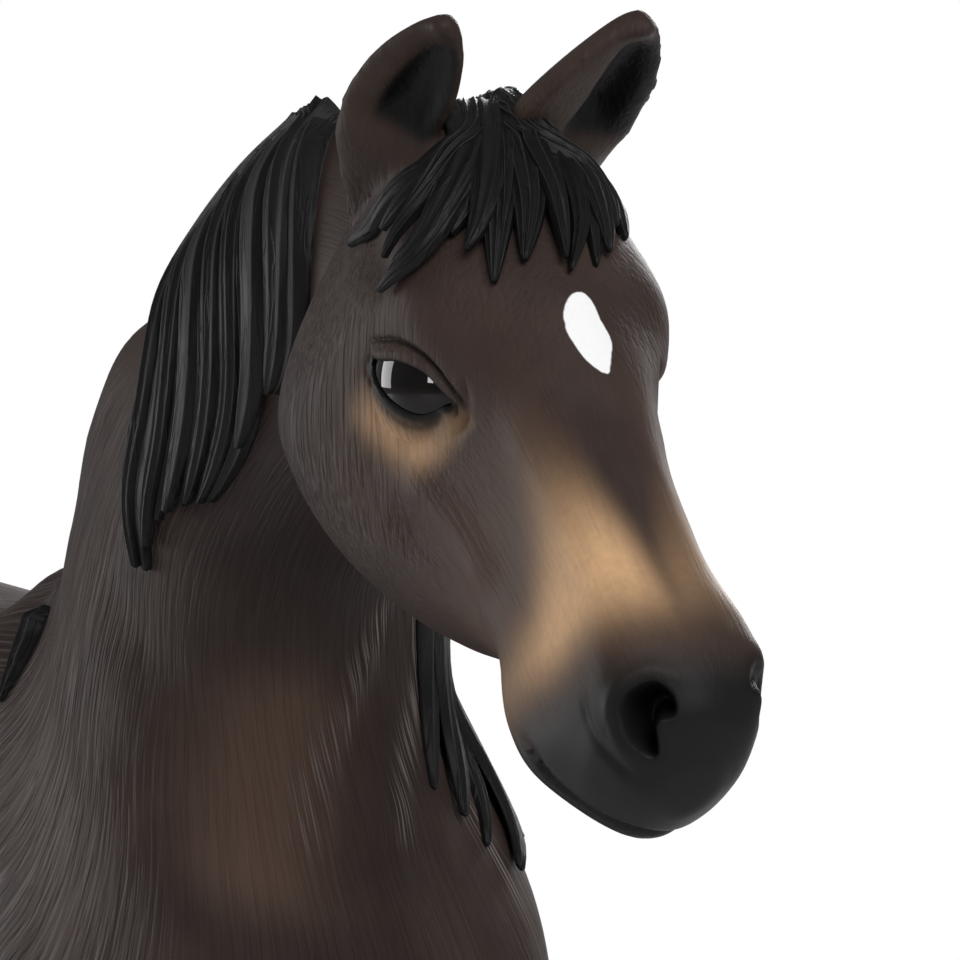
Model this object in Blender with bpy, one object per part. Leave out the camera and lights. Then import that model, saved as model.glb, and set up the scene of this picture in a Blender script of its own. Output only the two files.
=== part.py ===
"""Toy horse figure, standing, head turned to its right.

Metres, +Z up. The horse faces +X, its left side is at +Y, and its hooves stand on Z = 0.
The body is shaped as one skin of smooth forms, then parted at the seams where the
mouldings of such a figure are glued, each with a round spigot in a socket.
"""

from math import acos, atan2, cos, pi, radians, sin

import bmesh
import bpy
import numpy as np
from mathutils import Matrix, Vector
from mathutils.bvhtree import BVHTree

# Driving sizes of the whole figure
body_length = 0.080
withers_height = 0.080
chest_depth = 0.037
barrel_width = 0.0238

# Neck, from the withers to the poll
neck_reach = 0.0295
neck_rise = 0.021
neck_width = 0.020

# Head, in its own frame: forward from the poll along the face, left, and up
head_length = 0.033
head_width = 0.0116
head_depth = 0.0158
head_turn = radians(21.0)
head_dip = radians(33.0)
head_tilt = radians(-4.0)

# Ears
ear_height = 0.0077
ear_width = 0.0043
ear_wall = 0.0008
left_ear_opening = radians(14.0)
right_ear_opening = radians(38.0)
ear_tip_forward = radians(8.0)
left_ear_lean = radians(15.0)
right_ear_lean = radians(0.0)

# Eyes
eye_radius = 0.0020

# Nostrils and mouth
nostril_length = 0.0021
nostril_width = 0.0012
nostril_depth = 0.0013
nostril_splay = radians(30.0)
nostril_dip = radians(40.0)
mouth_height = 0.0004
mouth_depth = 0.0006

# Legs
foreleg_depth = 0.013
foreleg_width = 0.0084
foreleg_spread = 0.0138
hind_leg_depth = 0.027
hind_leg_width = 0.0094
hind_leg_spread = 0.0136
foreleg_step = 0.0016
hind_leg_step = 0.0022

# Tail
tail_length = 0.050
tail_width = 0.0078
tail_sweep = 0.0095
tail_ridge = 0.0005

# Hair
lock_width = 0.0042
lock_thickness = 0.0015
forelock_width = 0.0024
forelock_thickness = 0.0012
hair_lift = 0.0001

# Joints between the mouldings
glue_gap = 0.0003
hoof_overrun = 0.002
foreleg_seam_height = 0.0420
hind_leg_seam_height = 0.0445
leg_spigot_radius = 0.0015
leg_spigot_length = 0.0040
neck_spigot_radius = 0.0036
neck_spigot_length = 0.0060
head_spigot_radius = 0.0019
head_spigot_length = 0.0040
tail_spigot_radius = 0.0013
tail_spigot_length = 0.0036

# Middle places of the legs and the withers along the body
withers_share = 0.706
foreleg_share = 0.856
hind_leg_share = 0.112
leg_space_share = 0.72

# Seam of the neck on the trunk: crest forward and up, throat forward and up, as the neck
neck_seam_shares = (0.00, 0.00, 0.74, -0.71)

# Trunk: along, top, then width and height of the upper, middle and lower side, then the
# belly. Along runs from the buttock to the point of the shoulder, widths are shares of
# half the barrel, heights of the chest's depth above the breastbone.
trunk_shares = (
    (0.000, 0.700, 0.22, 0.68, 0.30, 0.58, 0.22, 0.48, 0.450),
    (0.030, 0.820, 0.42, 0.77, 0.60, 0.56, 0.46, 0.36, 0.300),
    (0.080, 0.910, 0.55, 0.85, 0.80, 0.56, 0.66, 0.28, 0.200),
    (0.160, 1.020, 0.62, 0.93, 0.92, 0.56, 0.80, 0.24, 0.130),
    (0.260, 1.050, 0.62, 0.96, 0.98, 0.58, 0.86, 0.22, 0.100),
    (0.380, 1.025, 0.60, 0.94, 0.96, 0.52, 0.84, 0.16, 0.050),
    (0.480, 0.990, 0.60, 0.91, 0.98, 0.46, 0.82, 0.10, -0.010),
    (0.580, 0.972, 0.58, 0.90, 1.00, 0.46, 0.82, 0.08, -0.030),
    (0.660, 0.982, 0.52, 0.89, 0.96, 0.48, 0.80, 0.08, -0.010),
    (0.715, 1.000, 0.42, 0.88, 0.93, 0.50, 0.78, 0.09, 0.000),
    (0.790, 0.960, 0.44, 0.84, 0.91, 0.52, 0.76, 0.12, 0.025),
    (0.880, 0.830, 0.48, 0.73, 0.84, 0.50, 0.72, 0.19, 0.080),
    (0.955, 0.680, 0.50, 0.62, 0.71, 0.46, 0.60, 0.25, 0.170),
    (1.000, 0.560, 0.32, 0.53, 0.44, 0.42, 0.32, 0.31, 0.260),
)

# Neck: crest forward and up, throat forward and up, half the width, and the share of the
# head's turn. Places are from the withers, in shares of the neck's reach and rise.
neck_shares = (
    (-0.28, -0.30, 0.62, -1.43, 0.49, 0.00),
    (-0.13, -0.13, 0.74, -1.10, 0.50, 0.00),
    (-0.02, 0.00, 0.74, -0.71, 0.46, 0.00),
    (0.005, 0.13, 0.630, -0.38, 0.375, 0.03),
    (0.055, 0.33, 0.555, -0.12, 0.310, 0.12),
    (0.165, 0.57, 0.575, 0.095, 0.272, 0.30),
    (0.365, 0.82, 0.71, 0.285, 0.245, 0.55),
    (0.67, 1.00, 0.86, 0.405, 0.220, 0.82),
    (1.01, 0.92, 1.00, 0.45, 0.180, 1.00),
)
neck_egg_share = 0.20

# Head: along from the poll to the lips, then as the trunk. Along is a share of the head's
# length, widths of half its width, heights of its depth.
head_shares = (
    (-0.050, 0.000, 0.32, -0.02, 0.46, -0.21, 0.42, -0.42, -0.480),
    (0.030, 0.062, 0.49, 0.00, 0.72, -0.27, 0.80, -0.58, -0.700),
    (0.120, 0.084, 0.60, 0.02, 0.92, -0.31, 1.05, -0.69, -0.870),
    (0.200, 0.094, 0.70, 0.01, 1.00, -0.27, 1.08, -0.71, -0.960),
    (0.280, 0.090, 0.80, -0.03, 0.92, -0.27, 0.98, -0.72, -0.975),
    (0.350, 0.070, 0.72, -0.07, 0.78, -0.29, 0.85, -0.69, -0.935),
    (0.430, 0.034, 0.50, -0.05, 0.64, -0.31, 0.70, -0.63, -0.850),
    (0.520, -0.006, 0.38, -0.06, 0.54, -0.32, 0.58, -0.55, -0.730),
    (0.620, -0.036, 0.36, -0.08, 0.50, -0.31, 0.55, -0.49, -0.640),
    (0.720, -0.050, 0.39, -0.09, 0.53, -0.30, 0.62, -0.53, -0.640),
    (0.800, -0.048, 0.46, -0.09, 0.59, -0.30, 0.60, -0.52, -0.625),
    (0.855, -0.052, 0.50, -0.11, 0.57, -0.29, 0.50, -0.48, -0.600),
    (0.900, -0.092, 0.45, -0.16, 0.51, -0.29, 0.38, -0.44, -0.532),
    (0.930, -0.155, 0.32, -0.21, 0.37, -0.30, 0.22, -0.40, -0.445),
    (0.945, -0.230, 0.15, -0.25, 0.20, -0.31, 0.12, -0.36, -0.385),
)

# Legs: height, rear edge, front edge, width, and place out from the middle. Heights are
# shares of the withers' height, edges of the leg's depth from its own middle place.
foreleg_shares = (
    (0.850, -0.96, 0.42, 0.55, 0.38),
    (0.775, -0.85, 0.81, 0.60, 0.43),
    (0.688, -0.62, 0.95, 0.60, 0.48),
    (0.612, -0.58, 0.73, 0.55, 0.50),
    (0.562, -0.56, 0.48, 0.50, 0.50),
    (0.512, -0.47, 0.35, 0.44, 0.485),
    (0.450, -0.35, 0.28, 0.37, 0.47),
    (0.388, -0.22, 0.25, 0.31, 0.455),
    (0.344, -0.19, 0.29, 0.31, 0.45),
    (0.312, -0.20, 0.30, 0.32, 0.45),
    (0.275, -0.18, 0.19, 0.27, 0.45),
    (0.212, -0.15, 0.145, 0.215, 0.45),
    (0.156, -0.18, 0.14, 0.226, 0.45),
    (0.125, -0.22, 0.18, 0.27, 0.45),
    (0.090, -0.085, 0.26, 0.24, 0.45),
    (0.060, -0.015, 0.42, 0.32, 0.45),
    (0.000, -0.04, 0.59, 0.40, 0.45),
)
hind_leg_shares = (
    (0.900, -0.07, 0.59, 0.45, 0.34),
    (0.825, -0.30, 0.72, 0.53, 0.41),
    (0.738, -0.33, 0.78, 0.57, 0.46),
    (0.650, -0.28, 0.74, 0.56, 0.50),
    (0.575, -0.185, 0.65, 0.50, 0.50),
    (0.525, -0.15, 0.50, 0.44, 0.49),
    (0.475, -0.155, 0.315, 0.36, 0.48),
    (0.425, -0.21, 0.155, 0.30, 0.465),
    (0.381, -0.30, 0.026, 0.255, 0.455),
    (0.350, -0.35, -0.044, 0.25, 0.45),
    (0.319, -0.333, -0.08, 0.265, 0.45),
    (0.275, -0.28, -0.096, 0.235, 0.45),
    (0.212, -0.244, -0.10, 0.186, 0.45),
    (0.156, -0.233, -0.078, 0.20, 0.45),
    (0.125, -0.237, -0.052, 0.245, 0.45),
    (0.090, -0.155, -0.007, 0.213, 0.45),
    (0.060, -0.133, 0.074, 0.287, 0.45),
    (0.000, -0.155, 0.14, 0.356, 0.45),
)

# Tail: down, back, and thickness, in shares of its length, sweep and width
tail_shares = (
    (-0.02, -0.10, 0.36),
    (0.03, 0.36, 0.46),
    (0.12, 0.68, 0.68),
    (0.28, 0.90, 0.92),
    (0.48, 1.00, 1.00),
    (0.68, 0.98, 0.88),
    (0.85, 0.90, 0.60),
    (0.95, 0.84, 0.32),
    (1.00, 0.80, 0.10),
)
tail_root_shares = (0.045, 0.77)
tail_inward_shares = (1.0, 0.0, -0.35)
tail_ridges = 6

# Hair: each lock starts on the crest and ends on the side, as forward and up from the
# withers in shares of the neck's reach and rise, with its width as a share of a lock's
right_lock_shares = (
    (0.80, 1.01, 0.72, 0.50, 0.85),
    (0.68, 0.98, 0.64, 0.42, 1.00),
    (0.58, 0.94, 0.55, 0.30, 1.10),
    (0.49, 0.88, 0.48, 0.22, 1.10),
    (0.41, 0.82, 0.40, 0.14, 1.05),
    (0.33, 0.74, 0.345, 0.12, 0.90),
)
left_lock_shares = (
    (0.78, 1.02, 0.52, 0.02, 1.00),
    (0.67, 0.97, 0.47, -0.22, 1.10),
    (0.55, 0.90, 0.43, -0.46, 1.20),
    (0.43, 0.79, 0.36, -0.64, 1.20),
    (0.32, 0.66, 0.28, -0.72, 1.20),
    (0.22, 0.50, 0.19, -0.68, 1.15),
    (0.18, 0.31, 0.12, -0.62, 1.10),
    (0.10, 0.15, 0.02, -0.52, 1.00),
    (0.02, 0.02, -0.08, -0.36, 0.80),
)
# Forelock: each lock starts at the poll and ends on the forehead, as forward in shares of
# the head's length and left in shares of half its width, then its width as a lock's
forelock_shares = (
    (0.00, -0.26, 0.10, -0.86, 0.95),
    (0.00, -0.17, 0.215, -0.93, 1.05),
    (0.00, -0.10, 0.26, -0.68, 1.05),
    (0.00, -0.03, 0.33, -0.38, 1.05),
    (0.00, 0.04, 0.325, 0.00, 1.00),
    (0.00, 0.11, 0.33, 0.28, 1.00),
    (0.00, 0.20, 0.24, 0.60, 0.95),
)
forelock_start_up_share = 0.19
forelock_root_shares = (0.015, 0.0, 0.063)
forelock_root_stretch_shares = (1.0, 1.3, 0.7)

# A lock thins from its width towards its tip, and starts narrower at its root
lock_point_share = 0.14
lock_root_share = 0.62
lock_tip_thin_share = 0.70
lock_root_run_share = 0.33
lock_out_run_share = 0.42

# Bow of a falling lock towards the face
lock_bow_share = 0.12

# Places on the head: forward as a share of its length, out from the middle of half its
# width, and up of its depth
eye_shares = (0.312, 0.574, -0.241)
nostril_shares = (0.885, 0.443, -0.178)
left_ear_shares = (0.036, 0.52, -0.057)
right_ear_shares = (0.036, 0.64, -0.057)
head_spigot_shares = (0.02, 0.0, -0.46)
mouth_start_shares = (0.97, 0.0, -0.370)
mouth_end_shares = (0.69, 0.0, -0.503)

# Ear sections along its height: half width and cup in shares of its width, lean of its
# height, each as a start, a slope and a curve, and where the cup is hollow in full
ear_half_width_shares = (0.80, 0.75, -1.42)
ear_cup_shares = (0.46, 0.10, -0.34)
ear_lean_share = 0.16
ear_edge_share = 0.125
ear_hollow_share = 0.45

# Facets
crest_steps = 40
trunk_around, trunk_along = 26, 22
neck_around, neck_along = 28, 15
head_around, head_along = 28, 27
leg_around, leg_along = 14, 22
tail_around, tail_along = 24, 11
lock_around, lock_along = 6, 7
ear_around, ear_along = 14, 7

Z_AXIS = Vector((0.0, 0.0, 1.0))


def material(name, colour, roughness):
    """A moulded and painted plastic, coloured as linear red, green and blue."""
    made = bpy.data.materials.new(name)
    made.use_nodes = True
    shader = made.node_tree.nodes["Principled BSDF"]
    shader.inputs["Base Color"].default_value = (*colour, 1.0)
    shader.inputs["Roughness"].default_value = roughness
    shader.inputs["Metallic"].default_value = 0.0
    made.diffuse_color = (*colour, 1.0)
    return made


def smooth(knots, values, places):
    """Values of a smooth curve through the knots, read at each place."""
    knots = np.asarray(knots, float)
    values = np.asarray(values, float)
    slopes = np.gradient(values, knots, axis=0)
    index = np.clip(np.searchsorted(knots, places, side="right") - 1, 0, len(knots) - 2)
    width = knots[index + 1] - knots[index]
    part = ((places - knots[index]) / width)[:, None]
    width = width[:, None]
    start, end = values[index], values[index + 1]
    rise = end - start
    bend = (slopes[index] + slopes[index + 1]) * width - 2 * rise
    lean = 3 * rise - (2 * slopes[index] + slopes[index + 1]) * width
    return start + part * (slopes[index] * width + part * (lean + part * bend))


def around_loop(corners, count):
    """A smooth closed outline through eight corners, as evenly shared points."""
    places = np.arange(count) / count * len(corners)
    index = places.astype(int)
    part = (places - index)[:, None]
    size = len(corners)
    before, start = corners[index - 1], corners[index]
    end, after = corners[(index + 1) % size], corners[(index + 2) % size]
    lean = (end - before) / 2
    out = (after - start) / 2
    rise = end - start
    bend = lean + out - 2 * rise
    mid = 3 * rise - 2 * lean - out
    return start + part * (lean + part * (mid + part * bend))


def side_sections(table, length, half_width, height, around, along):
    """Rings of a form that is the same on both sides, from a table of its stations."""
    table = np.array(table)
    places = np.linspace(table[0, 0], table[-1, 0], along)
    rows = smooth(table[:, 0], table[:, 1:], places)
    rings = []
    for place, (top, w1, z1, w2, z2, w3, z3, bottom) in zip(places, rows):
        corners = np.array([
            (0.0, top), (w1, z1), (w2, z2), (w3, z3),
            (0.0, bottom), (-w3, z3), (-w2, z2), (-w1, z1),
        ])
        outline = around_loop(corners, around)
        forward = np.full(around, place * length)
        rings.append(np.column_stack((forward, outline * (half_width, height))))
    return np.array(rings)


def closed_loft(name, rings, dome=0.25):
    """A closed skin over the rings: a sphere whose circles are moved to them."""
    along, around = rings.shape[:2]
    bm = bmesh.new()
    bmesh.ops.create_uvsphere(bm, u_segments=around, v_segments=along + 1, radius=1.0)
    first, last = rings[0].mean(axis=0), rings[-1].mean(axis=0)
    start = first + (first - rings[1].mean(axis=0)) * dome
    end = last + (last - rings[-2].mean(axis=0)) * dome
    for vert in bm.verts:
        row = round(acos(max(-1.0, min(1.0, vert.co.z))) / pi * (along + 1))
        column = round(atan2(vert.co.y, vert.co.x) / (2 * pi) * around) % around
        if row == 0:
            vert.co = start
        elif row == along + 1:
            vert.co = end
        else:
            vert.co = rings[row - 1, column]
    return solid_object(name, bm)


def solid_object(name, bm):
    """A new object in the scene from a closed mesh, its faces turned outwards."""
    bmesh.ops.recalc_face_normals(bm, faces=bm.faces)
    if bm.calc_volume(signed=True) < 0:
        bmesh.ops.reverse_faces(bm, faces=bm.faces)
    mesh = bpy.data.meshes.new(name)
    bm.to_mesh(mesh)
    bm.free()
    mesh.shade_smooth()
    mesh.set_sharp_from_angle(angle=radians(50.0))
    made = bpy.data.objects.new(name, mesh)
    bpy.context.scene.collection.objects.link(made)
    return made


def copy_of(source, name):
    """A second object with its own copy of the mesh."""
    made = bpy.data.objects.new(name, source.data.copy())
    bpy.context.scene.collection.objects.link(made)
    return made


def grown(source, by):
    """A copy of a solid with every corner moved outwards, as a cutter that leaves a gap."""
    made = copy_of(source, source.name + "_clearance")
    bm = bmesh.new()
    bm.from_mesh(made.data)
    bm.normal_update()
    moves = [vert.normal * by for vert in bm.verts]
    for vert, move in zip(bm.verts, moves):
        vert.co += move
    bm.to_mesh(made.data)
    bm.free()
    return made


def combine(target, other, operation, keep=False, solver="EXACT"):
    """Join another solid to the target, or cut it away, and use the other one up."""
    modifier = target.modifiers.new(operation.lower(), "BOOLEAN")
    modifier.operation = operation
    modifier.object = other
    modifier.solver = solver
    graph = bpy.context.evaluated_depsgraph_get()
    mesh = bpy.data.meshes.new_from_object(target.evaluated_get(graph))
    target.modifiers.clear()
    target.data = mesh
    if not keep:
        bpy.data.objects.remove(other, do_unlink=True)


def drop_offcuts(piece):
    """Keep a piece's largest shell, without the crumbs that trimming leaves."""
    bm = bmesh.new()
    bm.from_mesh(piece.data)
    left = set(bm.verts)
    shells = []
    while left:
        front = [left.pop()]
        shell = set(front)
        while front:
            near = {edge.other_vert(vert) for vert in front for edge in vert.link_edges}
            front = list(near - shell)
            shell |= near
        left -= shell
        shells.append(shell)
    for shell in sorted(shells, key=len)[:-1]:
        bmesh.ops.delete(bm, geom=list(shell), context="VERTS")
    bm.to_mesh(piece.data)
    bm.free()


def block(name, low, high):
    """A box between two corners."""
    bm = bmesh.new()
    bmesh.ops.create_cube(bm, size=1.0)
    low, high = Vector(low), Vector(high)
    size = high - low
    bmesh.ops.scale(bm, vec=size, verts=bm.verts)
    bmesh.ops.translate(bm, vec=(low + high) / 2, verts=bm.verts)
    return solid_object(name, bm)


def rod(name, base, axis, radius, length, start=0.0):
    """A round spigot or its socket, from a base point along an axis, its far end chamfered."""
    bm = bmesh.new()
    made = bmesh.ops.create_cone(
        bm, cap_ends=True, segments=16, radius1=radius, radius2=radius, depth=length - start
    )
    far = [v for v in made["verts"] if v.co.z > 0]
    bmesh.ops.translate(bm, vec=Z_AXIS * (length + start) / 2, verts=bm.verts)
    rim = [e for e in bm.edges if e.verts[0] in far and e.verts[1] in far]
    bmesh.ops.bevel(bm, geom=rim, offset=radius / 4, offset_type="OFFSET", segments=1,
                    profile=0.5, affect="EDGES", material=-1)
    turn = Vector(axis).normalized().to_track_quat("Z", "Y").to_matrix().to_4x4()
    bmesh.ops.transform(bm, matrix=Matrix.Translation(base) @ turn, verts=bm.verts)
    return solid_object(name, bm)


def trunk_point(along, up):
    """A place on the middle plane, along the body and up from the breastbone."""
    forward = (along - 0.5) * body_length
    return Vector((forward, 0.0, withers_height - chest_depth * (1 - up)))


withers = trunk_point(withers_share, 1.0)


def trunk_form():
    """Barrel, croup and chest."""
    rings = side_sections(trunk_shares, body_length, barrel_width / 2, chest_depth,
                          trunk_around, trunk_along)
    rings[:, :, 0] -= body_length / 2
    rings[:, :, 2] += withers_height - chest_depth
    return closed_loft("skin", rings)


def neck_stations(count):
    """Crest, throat, half width and turn along the neck, with the bend worked in."""
    table = np.array(neck_shares)
    places = np.linspace(0, len(table) - 1, count)
    rows = smooth(np.arange(len(table)), table, places)
    scale = np.array((neck_reach, neck_rise))
    crest, throat = rows[:, 0:2] * scale, rows[:, 2:4] * scale
    turn = rows[:, 5] * head_turn
    middle = (crest + throat) / 2
    steps = np.diff(middle[:, 0])
    between = (turn[1:] + turn[:-1]) / 2
    forward = middle[0, 0] + np.concatenate(([0.0], np.cumsum(steps * np.cos(between))))
    sideways = -np.concatenate(([0.0], np.cumsum(steps * np.sin(between))))
    centre = np.column_stack((forward, sideways, middle[:, 1])) + np.array(withers)
    return centre, crest - throat, rows[:, 4] * neck_width, turn, middle


def neck_form():
    """Neck from inside the chest to inside the poll, an egg section narrow at the crest."""
    centre, depth, half_width, turn, _ = neck_stations(neck_along)
    angle = np.arange(neck_around) / neck_around * 2 * pi
    rings = []
    for c, (deep, high), wide, yaw in zip(centre, depth, half_width, turn):
        up = np.cos(angle) / 2
        out = wide * np.sin(angle) * (1 - neck_egg_share * np.cos(angle))
        forward = up * deep
        x = c[0] + forward * cos(yaw) + out * sin(yaw)
        y = c[1] - forward * sin(yaw) + out * cos(yaw)
        rings.append(np.column_stack((x, y, c[2] + up * high)))
    return closed_loft("neck_skin", np.array(rings))


def head_matrix():
    """Frame of the head, its origin at the poll."""
    centre, _, _, turn, middle = neck_stations(len(neck_shares))
    offset = Vector((neck_reach - middle[-1, 0], 0.0, neck_rise - middle[-1, 1]))
    heading = Matrix.Rotation(-turn[-1], 4, "Z")
    poll = Vector(centre[-1]) + heading @ offset
    dip = Matrix.Rotation(head_dip, 4, "Y")
    tilt = Matrix.Rotation(head_tilt, 4, "X")
    return Matrix.Translation(poll) @ heading @ dip @ tilt


def head_place(shares, side=1):
    """A place on the head from its shares forward, outwards and up."""
    forward, out, up = shares
    return Vector((forward * head_length, side * out * head_width / 2, up * head_depth))


def head_form():
    """Skull, jowls and muzzle in the head's own frame."""
    rings = side_sections(head_shares, head_length, head_width / 2, head_depth,
                          head_around, head_along)
    return closed_loft("head", rings)


def ear_form(side, clearance=0.0):
    """One cupped ear: crescent sections from its root to its tip.

    With a clearance it is the ear's space instead: filled, and larger all round.
    """
    rings = []
    backs = ear_around // 2 + 1
    fronts = ear_around - backs
    wide_start, wide_slope, wide_curve = ear_half_width_shares
    cup_start, cup_slope, cup_curve = ear_cup_shares
    for share in np.linspace(0.0, 1.0, ear_along):
        wide = ear_width / 2 * (wide_start + wide_slope * share + wide_curve * share ** 3)
        wide += ear_wall * ear_edge_share + clearance
        cup = ear_width * (cup_start + cup_slope * share + cup_curve * share ** 2) + clearance
        lean = ear_height * ear_lean_share * (share ** 2 - share)
        back = np.linspace(-pi / 2, pi / 2, backs)
        front = np.linspace(pi / 2, -pi / 2, fronts + 2)[1:-1]
        hollow = 0.0 if clearance else min(1.0, share / ear_hollow_share)
        x_back, y_back = -cup * np.cos(back), wide * np.sin(back)
        inner = (-(cup - ear_wall) * np.cos(front) * hollow
                 + (ear_wall + clearance) * (1 - hollow))
        y_front = (wide - ear_wall / 2) * np.sin(front)
        x = np.concatenate((x_back, inner)) - lean
        y = np.concatenate((y_back, y_front))
        rings.append(np.column_stack((x, y, np.full(ear_around, share * ear_height))))
    ear = closed_loft("ear", np.array(rings), dome=0.3)
    root_shares, lean, opening = (
        (left_ear_shares, left_ear_lean, left_ear_opening) if side > 0
        else (right_ear_shares, right_ear_lean, right_ear_opening))
    turn = Matrix.Rotation(side * opening, 4, "Z")
    lean_out = Matrix.Rotation(-side * lean, 4, "X")
    lean_in = Matrix.Rotation(ear_tip_forward, 4, "Y")
    root = Matrix.Translation(head_place(root_shares, side))
    ear.data.transform(root @ lean_in @ lean_out @ turn)
    return ear


def ball(name, centre, radius, stretch=(1.0, 1.0, 1.0), facets=14):
    """A ball, or an egg where it is stretched."""
    bm = bmesh.new()
    bmesh.ops.create_uvsphere(bm, u_segments=facets, v_segments=facets // 2, radius=radius)
    bmesh.ops.scale(bm, vec=stretch, verts=bm.verts)
    bmesh.ops.translate(bm, vec=centre, verts=bm.verts)
    return solid_object(name, bm)


def leg_form(name, table, place_share, depth, width, spread, side, step, seam):
    """A leg from inside the body down to a flat hoof, its foot set forward by the step."""
    table = np.array(table)[::-1]
    places = np.linspace(table[0, 0], table[-1, 0], leg_along)
    rows = smooth(table[:, 0], table[:, 1:], places)
    middle = (place_share - 0.5) * body_length
    angle = np.arange(leg_around) / leg_around * 2 * pi
    rings = []
    for place, (rear, front, wide, out) in zip(places, rows):
        height = place * withers_height
        shift = step * max(0.0, 1 - height / seam)
        half, centre = (front - rear) / 2 * depth, (front + rear) / 2 * depth
        x = middle + centre + shift + half * np.cos(angle)
        y = side * out * spread + wide * width * np.sin(angle)
        rings.append(np.column_stack((x, y, np.full(leg_around, height))))
    return closed_loft(name, np.array(rings), dome=0.0)


def tail_form():
    """Tail hair as one hanging form with rounded ridges."""
    table = np.array(tail_shares)
    places = np.linspace(0, len(table) - 1, tail_along)
    rows = smooth(np.arange(len(table)), table, places)
    angle = np.arange(tail_around) / tail_around * 2 * pi
    root = trunk_point(*tail_root_shares)
    rings = []
    centres = np.column_stack((-rows[:, 1] * tail_sweep, -rows[:, 0] * tail_length))
    run = np.gradient(centres, axis=0)
    run /= np.linalg.norm(run, axis=1)[:, None]
    for (back, down), (run_x, run_z), thick in zip(centres, run, rows[:, 2]):
        radius = thick * tail_width / 2 + tail_ridge * thick * np.cos(tail_ridges * angle)
        across, out = radius * np.cos(angle), radius * np.sin(angle)
        x = root.x + back + across * run_z
        z = root.z + down - across * run_x
        rings.append(np.column_stack((x, out, z)))
    return closed_loft("tail", np.array(rings))


def hair_lock(name, path, normals, width, thickness, point=lock_point_share):
    """A lock on a surface, thinning to a point of its own share of the width."""
    count = len(path)
    run = np.gradient(path, axis=0)
    run /= np.linalg.norm(run, axis=1)[:, None]
    angle = np.arange(lock_around) / lock_around * 2 * pi
    rings = []
    for i in range(count):
        share = i / (count - 1)
        taper = 1 - (1 - point) * share ** 2.4
        root = lock_root_share + (1 - lock_root_share) * min(1.0, share / lock_root_run_share)
        side = np.cross(normals[i], run[i])
        side /= np.linalg.norm(side)
        half = width / 2 * taper * root
        tall = thickness / 2 * (1 - lock_tip_thin_share * share ** 2)
        lift = glue_gap + hair_lift + tall
        ring = [path[i] + side * half * cos(a) + normals[i] * (lift + tall * sin(a))
                for a in angle]
        rings.append(np.array(ring))
    return closed_loft(name, np.array(rings), dome=0.15)


def surface_path(tree, points):
    """Points moved to the nearest place on a surface, with the surface's normals there."""
    found = [tree.find_nearest(Vector(point))[:2] for point in points]
    path = np.array([tuple(place) for place, _ in found])
    normals = np.array([tuple(normal) for _, normal in found])
    for _ in range(2):
        eased = normals.copy()
        eased[1:-1] = (normals[:-2] + 2 * normals[1:-1] + normals[2:]) / 4
        normals = eased / np.linalg.norm(eased, axis=1)[:, None]
    return path, normals


def joined_locks(name, locks):
    """Locks that lie over each other, joined into one moulding.

    Their sides nearly coincide, which the exact solver leaves open, so the manifold one
    joins and trims hair.
    """
    whole = locks[0]
    whole.name = name
    for lock in locks[1:]:
        combine(whole, lock, "UNION", solver="MANIFOLD")
    return whole


def beside_neck(stations, flat, out):
    """A place beside the neck, from its place forward and up in the unturned side view."""
    centre, _, _, turn, middle = stations
    near = int(np.argmin(((middle - flat) ** 2).sum(axis=1)))
    forward, up = flat - middle[near]
    yaw = turn[near]
    return (
        centre[near, 0] + forward * cos(yaw) + out * sin(yaw),
        centre[near, 1] - forward * sin(yaw) + out * cos(yaw),
        centre[near, 2] + up,
    )


def mane(name, tree, shares, side):
    """Locks that fall from a roll of hair along the crest, down one side of the neck."""
    reach = np.array((neck_reach, neck_rise))
    stations = neck_stations(crest_steps)
    roots = [beside_neck(stations, np.array(row[:2]) * reach, side * lock_width / 4)
             for row in shares]
    path, normals = surface_path(tree, roots)
    locks = [hair_lock(f"{name}_roll", path, normals, lock_width, lock_thickness, 0.5)]
    for i, (from_x, from_z, to_x, to_z, wide) in enumerate(shares):
        points = []
        for share in np.linspace(0.0, 1.0, lock_along):
            drop = share ** 0.8
            flat = (np.array((from_x, from_z)) * (1 - drop)
                    + np.array((to_x, to_z)) * drop) * reach
            flat[0] += lock_bow_share * neck_reach * sin(pi * share)
            out = side * neck_width / 2 * min(1.0, share / lock_out_run_share)
            points.append(beside_neck(stations, flat, out + side * lock_width / 4))
        path, normals = surface_path(tree, points)
        locks.append(hair_lock(f"{name}_{i}", path, normals, lock_width * wide,
                               lock_thickness))
    return joined_locks(name, locks)


def forelock(tree, frame):
    """Locks that fan from the poll over the forehead."""
    locks = []
    for i, (from_x, from_y, to_x, to_y, wide) in enumerate(forelock_shares):
        points = []
        for share in np.linspace(0.0, 1.0, lock_along):
            x = from_x + (to_x - from_x) * share
            y = from_y + (to_y - from_y) * share ** 1.3
            points.append(frame @ head_place((x, y, forelock_start_up_share)))
        path, normals = surface_path(tree, points)
        locks.append(hair_lock(f"forelock_{i}", path, normals, forelock_width * wide,
                               forelock_thickness))
    root = frame @ head_place(forelock_root_shares)
    locks.append(ball("root", root, forelock_width, forelock_root_stretch_shares,
                      lock_around))
    return joined_locks("forelock", locks)


def surface_tree(source):
    """A search tree of a solid's surface."""
    bm = bmesh.new()
    bm.from_mesh(source.data)
    tree = BVHTree.FromBMesh(bm)
    bm.free()
    return tree


def cut_nostrils(head, frame):
    """Hollow both nostrils."""
    for side in (1, -1):
        nostril = ball("nostril", Vector(), nostril_length / 2,
                       (1.0, nostril_depth / nostril_length, nostril_width / nostril_length),
                       facets=10)
        turn = (Matrix.Rotation(side * nostril_splay, 4, "Z")
                @ Matrix.Rotation(nostril_dip, 4, "Y"))
        place = Matrix.Translation(head_place(nostril_shares, side))
        nostril.data.transform(frame @ place @ turn)
        combine(head, nostril, "DIFFERENCE")


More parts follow.
